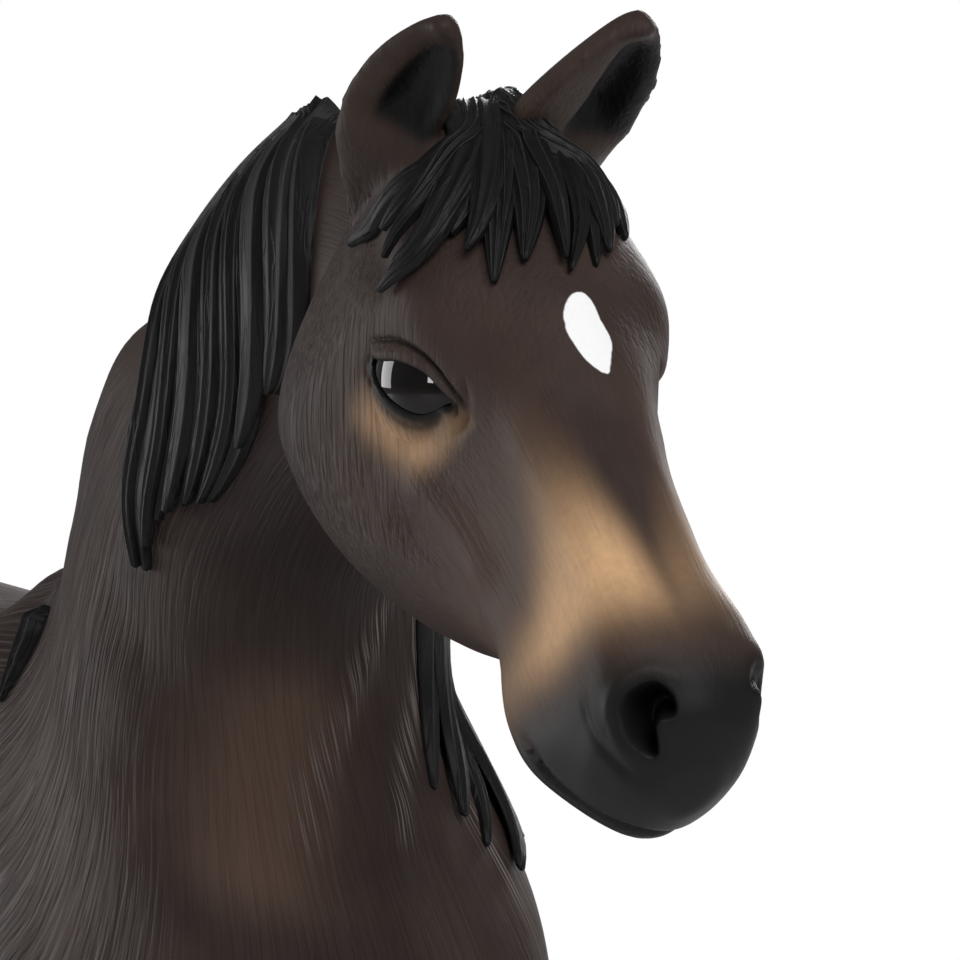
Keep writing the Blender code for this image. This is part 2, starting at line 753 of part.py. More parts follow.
def cut_mouth(head, clean_head, frame):
    """Score the line of the mouth round the muzzle, to one depth all along."""
    start, end = head_place(mouth_start_shares), head_place(mouth_end_shares)
    run = start - end
    groove = block("mouth", (0.0, -head_width, -mouth_height / 2),
                   (run.length, head_width, mouth_height / 2))
    slope = Matrix.Rotation(-atan2(run.z, run.x), 4, "Y")
    groove.data.transform(frame @ Matrix.Translation(end) @ slope)
    combine(groove, grown(clean_head, -mouth_depth), "DIFFERENCE")
    combine(head, groove, "DIFFERENCE")


def eye_beads(head, frame):
    """Round beads for the eyes, each in a socket cut into the head."""
    beads = []
    for side, name in ((1, "left_eye"), (-1, "right_eye")):
        centre = frame @ head_place(eye_shares, side)
        combine(head, ball("socket", centre, eye_radius + glue_gap), "DIFFERENCE")
        beads.append(ball(name, centre, eye_radius))
    return beads


def neck_seam():
    """Middle of the glued seam between trunk and neck, and the way from trunk to neck."""
    crest_x, crest_z, throat_x, throat_z = neck_seam_shares
    crest = withers + Vector((crest_x * neck_reach, 0.0, crest_z * neck_rise))
    throat = withers + Vector((throat_x * neck_reach, 0.0, throat_z * neck_rise))
    down = (throat - crest).normalized()
    return (crest + throat) / 2, Vector((-down.z, 0.0, down.x))


def seam_block(name, point, normal, size):
    """All that lies beyond a seam's plane."""
    made = block(name, (-size, -size, 0.0), (size, size, size * 2))
    turn = normal.to_track_quat("Z", "Y").to_matrix().to_4x4()
    made.data.transform(Matrix.Translation(point) @ turn)
    return made


def leg_space(share, depth, side, top):
    """Corners of the space of one leg below a height."""
    middle = (share - 0.5) * body_length
    out = barrel_width
    low = (middle - depth * leg_space_share, min(0.0, side * out), -hoof_overrun)
    high = (middle + depth * leg_space_share, max(0.0, side * out), top)
    return low, high


def leg_middle(table, share, depth, spread, side, height):
    """Middle of a leg's section at its seam."""
    rows = np.array(table)[::-1]
    rear, front, _, out = smooth(rows[:, 0], rows[:, 1:], np.array([height / withers_height]))[0]
    forward = (share - 0.5) * body_length + (rear + front) / 2 * depth
    return Vector((forward, side * out * spread, height))


def fit_spigot(piece, holder, base, axis, radius, length, start=None):
    """Give a piece a round spigot and its holder the socket, clear by the glue gap."""
    begin = -radius if start is None else start
    combine(piece, rod("spigot", base, axis, radius, length, begin), "UNION")
    socket = rod("socket", base, axis, radius + glue_gap, length + glue_gap, begin)
    combine(holder, socket, "DIFFERENCE")


def leg_sizes(side):
    """Name, section table and sizes of the two legs on one side."""
    suffix = "left" if side > 0 else "right"
    return (
        ("foreleg_" + suffix, foreleg_shares, foreleg_share, foreleg_depth, foreleg_width,
         foreleg_spread, side * foreleg_step, foreleg_seam_height),
        ("hind_leg_" + suffix, hind_leg_shares, hind_leg_share, hind_leg_depth,
         hind_leg_width, hind_leg_spread, -side * hind_leg_step, hind_leg_seam_height),
    )


def make_legs():
    """All four legs, each from inside the body to its hoof."""
    return {name: leg_form(name, table, share, depth, width, spread, side, step, seam)
            for side in (1, -1)
            for name, table, share, depth, width, spread, step, seam in leg_sizes(side)}


def make_head(frame):
    """The head with its ears, nostrils, mouth and eyes.

    Gives the head, its clean form, the space of the head and ears, and the eye beads.
    """
    head = head_form()
    head.data.transform(frame)
    clean_head = copy_of(head, "clean_head")
    spaces = [grown(head, glue_gap)]
    for side in (1, -1):
        ear = ear_form(side)
        ear.data.transform(frame)
        ear_space = ear_form(side, glue_gap)
        ear_space.data.transform(frame)
        spaces.append(ear_space)
        combine(head, ear, "UNION")
    cut_nostrils(head, frame)
    cut_mouth(head, clean_head, frame)
    return head, clean_head, spaces, eye_beads(head, frame)


def part_neck(skin, head_space):
    """Neck and trunk, parted at the seam, the neck fitted behind the head."""
    seam, forward = neck_seam()
    neck = copy_of(skin, "neck")
    combine(neck, seam_block("neck_block", seam, forward, body_length), "INTERSECT")
    combine(neck, head_space, "DIFFERENCE", keep=True)
    trunk = copy_of(skin, "trunk")
    neck_cut = seam_block("neck_cut", seam - forward * glue_gap, forward, body_length)
    combine(trunk, neck_cut, "DIFFERENCE")
    fit_spigot(neck, trunk, seam, -forward, neck_spigot_radius, neck_spigot_length)
    return neck, trunk


def part_legs(trunk, legs):
    """Legs parted below the body, each with its spigot in the trunk."""
    for side in (1, -1):
        for name, table, share, depth, _, spread, _, seam in leg_sizes(side):
            low, high = leg_space(share, depth, side, seam)
            combine(legs[name], block("below_seam", low, high), "INTERSECT")
            low, high = leg_space(share, depth, side, seam + glue_gap)
            combine(trunk, block("leg_cut", low, high), "DIFFERENCE")
            top = leg_middle(table, share, depth, spread, side, seam)
            fit_spigot(legs[name], trunk, top, Z_AXIS, leg_spigot_radius, leg_spigot_length)


def make_tail(trunk, skin_space):
    """Tail with its root let into the croup."""
    tail = tail_form()
    combine(tail, skin_space, "DIFFERENCE", keep=True)
    inward = Vector(tail_inward_shares).normalized()
    fit_spigot(tail, trunk, trunk_point(*tail_root_shares), inward, tail_spigot_radius,
               tail_spigot_length, start=-tail_width / 2)
    return tail


def make_hair(hair_bed, brow_bed, frame, spaces):
    """Both falls of the mane and the forelock, clear of the skin under them."""
    right_fall = mane("mane_right_fall", hair_bed, right_lock_shares, -1)
    left_fall = mane("mane_left_fall", hair_bed, left_lock_shares, 1)
    tuft = forelock(brow_bed, frame)
    for hair_piece in (right_fall, left_fall, tuft):
        for space in spaces:
            combine(hair_piece, space, "DIFFERENCE", keep=True, solver="MANIFOLD")
    combine(left_fall, grown(right_fall, glue_gap), "DIFFERENCE", solver="MANIFOLD")
    return right_fall, left_fall, tuft


def build():
    """Model every moulding and set the figure over the middle of its footprint."""
    for item in list(bpy.data.objects):
        bpy.data.objects.remove(item, do_unlink=True)

    # Finishes
    coat = material("bay_coat", (0.045, 0.030, 0.025), 0.62)
    hair = material("black_hair", (0.009, 0.009, 0.009), 0.55)
    gloss = material("eye_gloss", (0.006, 0.005, 0.005), 0.06)

    # One skin of trunk, neck and legs
    skin = trunk_form()
    legs = make_legs()
    combine(skin, neck_form(), "UNION")
    for leg in legs.values():
        combine(skin, copy_of(leg, "leg"), "UNION")
    skin_space = grown(skin, glue_gap)

    # The mouldings
    frame = head_matrix()
    head, clean_head, head_spaces, eyes = make_head(frame)
    neck, trunk = part_neck(skin, head_spaces[0])
    part_legs(trunk, legs)
    tail = make_tail(trunk, skin_space)
    into_head = (frame.to_3x3() @ Vector((1.0, 0.0, 0.0))).normalized()
    fit_spigot(neck, head, frame @ head_place(head_spigot_shares), into_head,
               head_spigot_radius, head_spigot_length, start=-head_spigot_length)
    hair_pieces = make_hair(surface_tree(skin), surface_tree(clean_head), frame,
                            (*head_spaces, skin_space))

    # Finishes on, helpers away
    finishes = {piece: coat for piece in (trunk, neck, head, *legs.values())}
    finishes.update({piece: hair for piece in (tail, *hair_pieces)})
    finishes.update({eye: gloss for eye in eyes})
    for item in list(bpy.data.objects):
        if item not in finishes:
            bpy.data.objects.remove(item, do_unlink=True)
    for piece, finish in finishes.items():
        set_finish(piece, finish)
        drop_offcuts(piece)
    centre_on_footprint(list(finishes))


def set_finish(piece, finish):
    """Give a piece one material."""
    piece.data.materials.clear()
    piece.data.materials.append(finish)


def centre_on_footprint(pieces):
    """Move the figure so that its box is centred over the origin and stands on Z = 0."""
    corners = np.array([tuple(vert.co) for piece in pieces for vert in piece.data.vertices])
    low, high = corners.min(axis=0), corners.max(axis=0)
    shift = Vector((-(low[0] + high[0]) / 2, -(low[1] + high[1]) / 2, -low[2]))
    for piece in pieces:
        piece.data.transform(Matrix.Translation(shift))


build()
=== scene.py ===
"""Toy horse figure dressed in bay paint, carved black hair and glossy eyes.

The figure is shaped in millimetres in the sculptor's own frame, whose X runs forward from
the middle of the body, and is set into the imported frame, in metres, as each piece is
finished. The head is shaped in a frame of its own, with its origin at the poll.
"""

from __future__ import annotations

import logging
import math
from collections.abc import Iterator
from contextlib import contextmanager
from dataclasses import dataclass
from enum import Enum

import bmesh
import bpy
import numpy as np
from mathutils import Matrix, Vector
from mathutils.bvhtree import BVHTree
from mathutils.kdtree import KDTree


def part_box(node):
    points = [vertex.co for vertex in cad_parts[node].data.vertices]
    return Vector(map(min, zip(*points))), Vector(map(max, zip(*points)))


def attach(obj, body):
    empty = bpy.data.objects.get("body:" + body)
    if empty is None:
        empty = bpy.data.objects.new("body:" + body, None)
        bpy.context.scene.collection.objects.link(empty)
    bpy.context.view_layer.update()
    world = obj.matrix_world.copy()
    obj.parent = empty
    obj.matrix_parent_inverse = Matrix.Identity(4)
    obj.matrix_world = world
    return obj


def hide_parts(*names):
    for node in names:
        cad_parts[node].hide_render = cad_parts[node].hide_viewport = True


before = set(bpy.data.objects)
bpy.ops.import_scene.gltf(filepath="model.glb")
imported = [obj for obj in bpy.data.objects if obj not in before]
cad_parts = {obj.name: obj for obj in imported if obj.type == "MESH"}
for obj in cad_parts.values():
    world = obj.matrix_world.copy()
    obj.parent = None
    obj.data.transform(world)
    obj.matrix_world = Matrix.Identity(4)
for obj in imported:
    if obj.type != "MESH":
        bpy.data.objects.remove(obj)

LOG = logging.getLogger("toy_horse")
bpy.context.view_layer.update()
METRE = 0.001
CRISP_EDGE = math.radians(60.0)
Array = np.ndarray


class Side(Enum):
    """A side of the horse, as the sign of its Y."""

    LEFT = 1
    RIGHT = -1


class Facing(Enum):
    """The view in which a line is drawn: two axes of the drawing and the axis it faces."""

    SIDE = (0, 2, 1)
    TOP = (0, 1, 2)
    FRONT = (1, 2, 0)


# ---------------------------------------------------------------- curves and falloffs


def smooth(knots: Array, values: Array, places: Array) -> Array:
    """Read a smooth curve.

    Args:
        knots: where the curve's values are given.
        values: one row of values for each knot.
        places: where to read the curve.

    Returns:
        One row of values for each place.
    """
    slopes = np.gradient(values, knots, axis=0)
    index = np.clip(np.searchsorted(knots, places, side="right") - 1, 0, len(knots) - 2)
    width = (knots[index + 1] - knots[index])[:, None]
    part = (places - knots[index])[:, None] / width
    start, rise = values[index], values[index + 1] - values[index]
    bend = (slopes[index] + slopes[index + 1]) * width - 2 * rise
    lean = 3 * rise - (2 * slopes[index] + slopes[index + 1]) * width
    return start + part * (slopes[index] * width + part * (lean + part * bend))


def resample(points: Array, count: int) -> Array:
    """Read a line of points as a smooth curve with evenly shared places.

    Args:
        points: the points the line goes through.
        count: how many points to return.

    Returns:
        The points of the smooth line.
    """
    gaps = np.linalg.norm(np.diff(points, axis=0), axis=1)
    run = np.concatenate(([0.0], np.cumsum(gaps)))
    return smooth(run, points, np.linspace(0.0, run[-1], count))


def outline(corners: Array, count: int) -> Array:
    """Draw closed smooth outlines through their corners.

    Args:
        corners: corners of each outline, as (outlines, corners, 2).
        count: points on each outline.

    Returns:
        The points, as (outlines, count, 2).
    """
    size = corners.shape[1]
    places = np.arange(count) / count * size
    index = places.astype(int)
    part = (places - index)[None, :, None]
    before, start = corners[:, index - 1], corners[:, index]
    end, after = corners[:, (index + 1) % size], corners[:, (index + 2) % size]
    lean, out, rise = (end - before) / 2, (after - start) / 2, end - start
    return start + part * (lean + part * (3 * rise - 2 * lean - out
                                          + part * (lean + out - 2 * rise)))


def spread(table: Array, count: int) -> Array:
    """Rows of a table, read as smooth curves at even steps."""
    return smooth(np.arange(len(table), dtype=float), table,
                  np.linspace(0, len(table) - 1, count))


def ring(count: int) -> Array:
    """Angles of evenly shared points round a ring."""
    return np.arange(count) / count * 2 * np.pi


def ramp(values: Array, low: float, high: float) -> Array:
    """A smooth step from 0 at low to 1 at high."""
    part = np.clip((values - low) / (high - low), 0.0, 1.0)
    return part * part * (3 - 2 * part)


def bell(values: Array, width: float) -> Array:
    """A soft bump of 1 at zero that fades over a width."""
    return np.exp(-((values / width) ** 2))


def soft_max(one: Array, other: Array, blend: float) -> Array:
    """The larger of two values, with a rounded change between them."""
    part = np.clip(0.5 + (one - other) / (2 * blend), 0.0, 1.0)
    return other + (one - other) * part + blend * part * (1 - part)


def distance_to_line(places: Array, line: Array, closed: bool = False) -> tuple[Array, Array]:
    """Measure how far places on a plane lie from a drawn line.

    Args:
        places: points on the plane, as (count, 2).
        line: corners of the line.
        closed: whether the last corner joins the first, and the inside counts as negative.

    Returns:
        The distances, and for each the share along the line of its nearest point.
    """
    starts = line if closed else line[:-1]
    ends = np.roll(line, -1, axis=0) if closed else line[1:]
    best = np.full(len(places), np.inf)
    share = np.zeros(len(places))
    inside = np.zeros(len(places), bool)
    for number, (start, end) in enumerate(zip(starts, ends)):
        run = end - start
        part = np.clip((places - start) @ run / (run @ run), 0.0, 1.0)
        away = np.linalg.norm(places - start - part[:, None] * run, axis=1)
        nearer = away < best
        best = np.where(nearer, away, best)
        share = np.where(nearer, (number + part) / len(starts), share)
        crosses = (start[1] > places[:, 1]) != (end[1] > places[:, 1])
        level = np.where(crosses, run[1], 1.0)
        side = start[0] + (places[:, 1] - start[1]) * run[0] / level
        inside ^= crosses & (places[:, 0] < side)
    return (np.where(inside, -best, best) if closed else best), share


def crease(places: Array, corners: tuple, ends: float = 0.15) -> tuple[Array, Array]:
    """Distance from a drawn crease, and how it fades at its ends."""
    away, share = distance_to_line(places, resample(np.array(corners), 40))
    return away, ramp(share, 0.0, ends) * ramp(1 - share, 0.0, ends)


# ---------------------------------------------------------------- worked meshes


def mesh_of(bm: bmesh.types.BMesh, name: str) -> bpy.types.Mesh:
    """Keep a worked shape as a mesh.

    Args:
        bm: the shape, which is used up.
        name: the mesh's name.

    Returns:
        The mesh.
    """
    mesh = bpy.data.meshes.new(name)
    bm.to_mesh(mesh)
    bm.free()
    return mesh


def close_up(bm: bmesh.types.BMesh) -> None:
    """Fill the open rims of a shape, if it has any.

    Args:
        bm: the shape.
    """
    rim = [edge for edge in bm.edges if edge.is_boundary]
    if rim:
        bmesh.ops.holes_fill(bm, edges=rim, sides=0)


def ease(bm: bmesh.types.BMesh, verts: list, passes: int, factor: float = 0.5) -> None:
    """Ease points towards their neighbours.

    Args:
        bm: the shape.
        verts: its points to ease.
        passes: how many times.
        factor: how far each pass goes.
    """
    for _ in range(passes):
        bmesh.ops.smooth_vert(bm, verts=verts, factor=factor, use_axis_x=True,
                              use_axis_y=True, use_axis_z=True)


class Clay:
    """A mesh that is worked point by point, as a sculptor works clay."""

    def __init__(self, name: str, mesh: bpy.types.Mesh) -> None:
        """Put a mesh into the scene under a name."""
        self.item = bpy.data.objects.new(name, mesh)
        bpy.context.scene.collection.objects.link(self.item)

    @classmethod
    def loft(cls, name: str, rings: Array, dome: float = 0.25) -> Clay:
        """Close a skin over rings: a ball whose circles are moved to them.

        The operator leaves the ball's faces in an order that changes from run to run, so
        they are sorted, and whatever is laid on the skin lies the same each time.

        Args:
            name: the piece's name.
            rings: ring points, as (along, around, 3).
            dome: how far each end bulges, as a share of the last spacing.

        Returns:
            The closed piece.
        """
        along, around = rings.shape[:2]
        bm = bmesh.new()
        bmesh.ops.create_uvsphere(bm, u_segments=around, v_segments=along + 1, radius=1.0)
        count = len(bm.verts)
        bm.verts.index_update()
        bm.faces.sort(key=lambda face: sum(
            number * count ** place
            for place, number in enumerate(sorted(vert.index for vert in face.verts)[:3])))
        made = cls(name, mesh_of(bm, name))
        ball = made.places
        row = np.rint(np.arccos(np.clip(ball[:, 2], -1, 1)) / np.pi * (along + 1)).astype(int)
        turn = np.arctan2(ball[:, 1], ball[:, 0]) / (2 * np.pi) * around
        column = np.rint(turn).astype(int) % around
        first, last = rings[0].mean(axis=0), rings[-1].mean(axis=0)
        placed = rings[np.clip(row - 1, 0, along - 1), column]
        placed[row == 0] = first + (first - rings[1].mean(axis=0)) * dome
        placed[row == along + 1] = last + (last - rings[-2].mean(axis=0)) * dome
        made.places = placed
        made.face_outwards()
        return made

    @property
    def places(self) -> Array:
        """Where the points are."""
        return self.read(self.item.data.vertices, "co")

    @places.setter
    def places(self, new: Array) -> None:
        """Move the points."""
        self.item.data.vertices.foreach_set("co", new.astype(np.float32).ravel())
        self.item.data.update()

    @property
    def normals(self) -> Array:
        """Which way each point faces."""
        return self.read(self.item.data.vertex_normals, "vector")

    @staticmethod
    def read(rows: bpy.types.bpy_prop_collection, key: str) -> Array:
        """Read one vector of each row.

        Args:
            rows: the mesh's points or their normals.
            key: the vector's name.

        Returns:
            The vectors, as (count, 3).
        """
        flat = np.empty(len(rows) * 3, np.float32)
        rows.foreach_get(key, flat)
        return flat.reshape(-1, 3).astype(float)

    @contextmanager
    def worked(self) -> Iterator[bmesh.types.BMesh]:
        """Open the mesh for operators, and keep what they make of it.

        Returns:
            The opened shape.
        """
        bm = bmesh.new()
        bm.from_mesh(self.item.data)
        yield bm
        bm.to_mesh(self.item.data)
        bm.free()
        self.item.data.update()

    def face_outwards(self) -> None:
        """Turn every face of a closed mesh outwards."""
        with self.worked() as bm:
            if bm.calc_volume(signed=True) < 0:
                bmesh.ops.reverse_faces(bm, faces=bm.faces)

    def add(self, *others: Clay) -> None:
        """Take other pieces' shells into this one, and use them up.

        Args:
            others: the other pieces.
        """
        with self.worked() as bm:
            for piece in others:
                bm.from_mesh(piece.item.data)
        for piece in others:
            bpy.data.objects.remove(piece.item, do_unlink=True)

    def melt(self, grain: float) -> None:
        """Join overlapping shells into one even skin of small squares.

        Args:
            grain: width of a square.
        """
        modifier = self.item.modifiers.new("melt", "REMESH")
        modifier.mode = "VOXEL"
        modifier.voxel_size = grain
        graph = bpy.context.evaluated_depsgraph_get()
        mesh = bpy.data.meshes.new_from_object(self.item.evaluated_get(graph))
        self.item.modifiers.clear()
        self.item.data = mesh

    def relax(self, passes: int, wanted: Array | None = None) -> None:
        """Ease the skin.

        Args:
            passes: how many times.
            wanted: which points, or all of them.
        """
        with self.worked() as bm:
            keep = np.ones(len(bm.verts)) if wanted is None else wanted
            ease(bm, [vert for vert, kept in zip(bm.verts, keep) if kept], passes)

    def refine(self, wanted: Array) -> None:
        """Split the squares around some points into four, and ease the new ones.

        Args:
            wanted: which points.
        """
        with self.worked() as bm:
            chosen = {vert for vert, kept in zip(bm.verts, wanted) if kept}
            edges = [e for e in bm.edges if e.verts[0] in chosen and e.verts[1] in chosen]
            split = bmesh.ops.subdivide_edges(bm, edges=edges, cuts=1, use_grid_fill=True)
            fresh = {g for g in split["geom_inner"] if isinstance(g, bmesh.types.BMVert)}
            ease(bm, [vert for vert in fresh | chosen if vert.is_valid], 1)

    def carve(self, strokes: tuple[Stroke, ...]) -> None:
        """Work a set of strokes into the surface.

        Args:
            strokes: the strokes.
        """
        places, normals = self.places, self.normals
        amount = np.zeros(len(places))
        for stroke in strokes:
            amount += stroke.amount(places, normals)
        self.places = places + normals * amount[:, None]

    def store(self, stored: dict[str, Array]) -> None:
        """Keep numbers or vectors at the points for the paint to read.

        Args:
            stored: the values at each point, by the name that the paint reads.
        """
        for name, values in stored.items():
            kind, key = ("FLOAT", "value") if values.ndim == 1 else ("FLOAT_VECTOR", "vector")
            kept = self.item.data.attributes.new(name, kind, "POINT")
            kept.data.foreach_set(key, values.astype(np.float32).ravel())

    def tree(self, left_out: Array | None = None) -> BVHTree:
        """Make a search tree of the surface.

        Args:
            left_out: which points to leave out, if any.

        Returns:
            The tree.
        """
        bm = bmesh.new()
        bm.from_mesh(self.item.data)
        if left_out is not None:
            gone = [vert for vert, out in zip(bm.verts, left_out) if out]
            bmesh.ops.delete(bm, geom=gone, context="VERTS")
        made = BVHTree.FromBMesh(bm)
        bm.free()
        return made

    def turn(self, matrix: Matrix) -> None:
        """Apply a placing to the points."""
        self.item.data.transform(matrix)

    def finish(self, into: Matrix, material: bpy.types.Material, slot: str,
               nodes: tuple[str, ...]) -> None:
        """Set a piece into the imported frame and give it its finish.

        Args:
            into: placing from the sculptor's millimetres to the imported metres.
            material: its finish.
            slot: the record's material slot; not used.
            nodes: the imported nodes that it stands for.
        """
        self.turn(into)
        mesh = self.item.data
        mesh.shade_smooth()
        mesh.set_sharp_from_angle(angle=CRISP_EDGE)
        mesh.materials.clear()
        mesh.materials.append(material)
        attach(self.item, "root")
        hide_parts(*nodes)
        mesh.calc_loop_triangles()
        LOG.info("%s: %d triangles", self.item.name, len(mesh.loop_triangles))


@dataclass(frozen=True)
class Stroke:
    """A pass of the modelling tool along a line drawn in one view of a form."""

    line: tuple[tuple[float, float], ...]
    width: float
    height: float
    facing: Facing = Facing.SIDE
    sides: tuple[int, ...] = (1, -1)
    taper: float = 0.25
    reach: float = 3.0
    lean: float = 0.45

    def amount(self, places: Array, normals: Array) -> Array:
        """Work out how far the stroke moves each point along its normal.

        Args:
            places: the points.
            normals: which way they face.

        Returns:
            The distances.
        """
        across, up, out = self.facing.value
        total = np.zeros(len(places))
        for side in self.sides:
            flip = side if self.facing is not Facing.FRONT else 1
            drawn = np.array(self.line, float)
            if self.facing is Facing.TOP:
                drawn[:, 1] *= side
            elif self.facing is Facing.FRONT:
                drawn[:, 0] *= side
            margin = self.reach * self.width
            low, high = drawn.min(axis=0) - margin, drawn.max(axis=0) + margin
            flat = places[:, (across, up)]
            faces = normals[:, out] * (flip if self.facing is Facing.SIDE else 1)
            near = ((flat > low) & (flat < high)).all(axis=1) & (faces > 0.0)
            if self.facing is Facing.SIDE:
                near &= places[:, 1] * side > 0
            if not near.any():
                continue
            away, share = distance_to_line(flat[near], resample(drawn, 4 * len(drawn)))
            fade = ramp(share, 0.0, self.taper) * ramp(1 - share, 0.0, self.taper)
            shape = bell(away, self.width)
            total[near] += self.height * shape * fade * ramp(faces[near], 0.0, self.lean)
        return total


def bed_path(tree: BVHTree, points: Array) -> tuple[Array, Array]:
    """Lay points on a surface.

    Args:
        tree: search tree of the surface.
        points: points near it.

    Returns:
        The points on the surface, and its eased normals there.
    """
    found = [tree.find_nearest(Vector(point))[:2] for point in points]
    path = np.array([tuple(place) for place, _ in found])
    normals = np.array([tuple(normal) for _, normal in found])
    for _ in range(4):
        for line in (normals, path):
            line[1:-1] = (line[:-2] + 2 * line[1:-1] + line[2:]) / 4
    return path, normals / np.linalg.norm(normals, axis=1)[:, None]


# ---------------------------------------------------------------- paint


class Shade:
    """A node's output that takes part in Python sums."""

    def __init__(self, nodes: Nodes, socket: bpy.types.NodeSocket) -> None:
        """Wrap an output socket of a node tree."""
        self.nodes = nodes
        self.socket = socket

    def sum(self, operation: str, *others: Shade | float) -> Shade:
        """Combine with other values through one Math node.

        Args:
            operation: what the node does.
            others: the other values.

        Returns:
            The result.
        """
        inputs = dict(enumerate((self, *others)))
        return self.nodes.node("ShaderNodeMath", {"operation": operation}, inputs)[0]

    def __add__(self, other: Shade | float) -> Shade:
        """Sum."""
        return self.sum("ADD", other)

    __radd__ = __add__

    def __mul__(self, other: Shade | float) -> Shade:
        """Product."""
        return self.sum("MULTIPLY", other)

    __rmul__ = __mul__

    def __sub__(self, other: Shade | float) -> Shade:
        """Difference."""
        return self.sum("SUBTRACT", other)

    def __rsub__(self, other: float) -> Shade:
        """Difference from a number."""
        return self.sum("MULTIPLY", -1.0) + other

    def most(self, other: Shade | float) -> Shade:
        """The larger of two values."""
        return self.sum("MAXIMUM", other)

    def step(self, low: float, high: float) -> Shade:
        """Take a smooth step from 0 to 1.

        Args:
            low: where the step starts.
            high: where it ends.

        Returns:
            The step.
        """
        return self.nodes.node("ShaderNodeMapRange", {"interpolation_type": "SMOOTHSTEP"},
                               {"Value": self, "From Min": low, "From Max": high})[0]


class Made:
    """A node that was added, whose outputs are read by number or name."""

    def __init__(self, nodes: Nodes, item: bpy.types.Node) -> None:
        """Wrap a node."""
        self.nodes = nodes
        self.item = item

    def __getitem__(self, key: int | str) -> Shade:
        """One of its outputs."""
        return Shade(self.nodes, self.item.outputs[key])


class Nodes:
    """A node tree that is written in Python."""

    def __init__(self, tree: bpy.types.NodeTree) -> None:
        """Take a tree over."""
        self.tree = tree

    def node(self, kind: str, settings: dict, inputs: dict) -> Made:
        """Add a node.

        Args:
            kind: the node's type.
            settings: its own settings, set first.
            inputs: values or links of its sockets, by number or identifier.

        Returns:
            The node.
        """
        made = self.tree.nodes.new(kind)
        for key, value in settings.items():
            setattr(made, key, value)
        self.feed(made, inputs)
        return Made(self, made)

    def feed(self, node: bpy.types.Node, inputs: dict) -> None:
        """Set or link sockets of a node.

        Args:
            node: the node.
            inputs: values or links of its sockets, by number or identifier.
        """
        for key, value in inputs.items():
            named = [s for s in node.inputs if s.identifier == key]
            socket = named[0] if named else node.inputs[key]
            if isinstance(value, Shade):
                self.tree.links.new(value.socket, socket)
            else:
                socket.default_value = value

    def attribute(self, name: str, output: str = "Fac") -> Shade:
        """Read what the piece keeps at its points."""
        return self.node("ShaderNodeAttribute", {"attribute_name": name}, {})[output]

    def place(self) -> Shade:
        """Read the place on the object."""
        return self.node("ShaderNodeTexCoord", {}, {})["Object"]

    def noise(self, at: Shade, scale: float, detail: float = 3.0, rough: float = 0.5,
              bend: float = 0.0) -> Shade:
        """Make a cloudy pattern from 0 to 1.

        Args:
            at: where it is read.
            scale: how many clouds there are to a unit.
            detail: how many finer layers it has.
            rough: how strong the finer layers are.
            bend: how far it is warped.

        Returns:
            The pattern.
        """
        return self.node("ShaderNodeTexNoise", {}, {
            "Vector": at, "Scale": scale, "Detail": detail, "Roughness": rough,
            "Distortion": bend})["Fac"]

    def stretched(self, at: Shade, scale: tuple[float, float, float]) -> Shade:
        """Coordinates scaled by a number of their own along each axis."""
        return self.node("ShaderNodeVectorMath", {"operation": "MULTIPLY"}, {0: at, 1: scale})[0]

    def mix(self, part: Shade | float, one: Shade | tuple, other: Shade | tuple) -> Shade:
        """Blend two colours.

        Args:
            part: how much there is of the second.
            one: the first.
            other: the second.

        Returns:
            The blend.
        """
        return self.node("ShaderNodeMix", {"data_type": "RGBA", "clamp_factor": True}, {
            "Factor_Float": part, "A_Color": one, "B_Color": other})[2]

    def bump(self, height: Shade, depth: float) -> Shade:
        """Raise the surface by a pattern.

        Args:
            height: the pattern.
            depth: what its full height is, in metres.

        Returns:
            The way that the surface faces.
        """
        return self.node("ShaderNodeBump", {}, {
            "Height": height, "Distance": depth, "Strength": 1.0})["Normal"]

    def blend(self, part: Shade, one: Shade, other: Shade, output: str) -> None:
        """Show a blend of two shaders.

        Args:
            part: how much there is of the second.
            one: the first.
            other: the second.
            output: name of the tree's output node.
        """
        mixed = self.node("ShaderNodeMixShader", {}, {0: part, 1: one, 2: other})
        self.feed(self.tree.nodes[output], {"Surface": mixed[0]})


class Paint(Nodes):
    """The node tree of one finish."""

    def __init__(self, name: str) -> None:
        """Start a material that holds one Principled shader.

        Args:
            name: the material's name.
        """
        self.material = bpy.data.materials.new(name)
        self.material.use_nodes = True
        super().__init__(self.material.node_tree)
        self.shader = self.tree.nodes["Principled BSDF"]

    def surface(self, **inputs: object) -> bpy.types.Material:
        """Set the shader's sockets, and hand over the material."""
        self.feed(self.shader, {key.replace("_", " "): value for key, value in inputs.items()})
        return self.material


def rgb(code: str) -> tuple[float, float, float, float]:
    """Turn a colour into linear light.

    Args:
        code: its six hexadecimal digits.

    Returns:
        Red, green, blue and 1.
    """
    parts = [int(code[i:i + 2], 16) / 255 for i in (0, 2, 4)]
    light = [p / 12.92 if p <= 0.04045 else ((p + 0.055) / 1.055) ** 2.4 for p in parts]
    return (*light, 1.0)


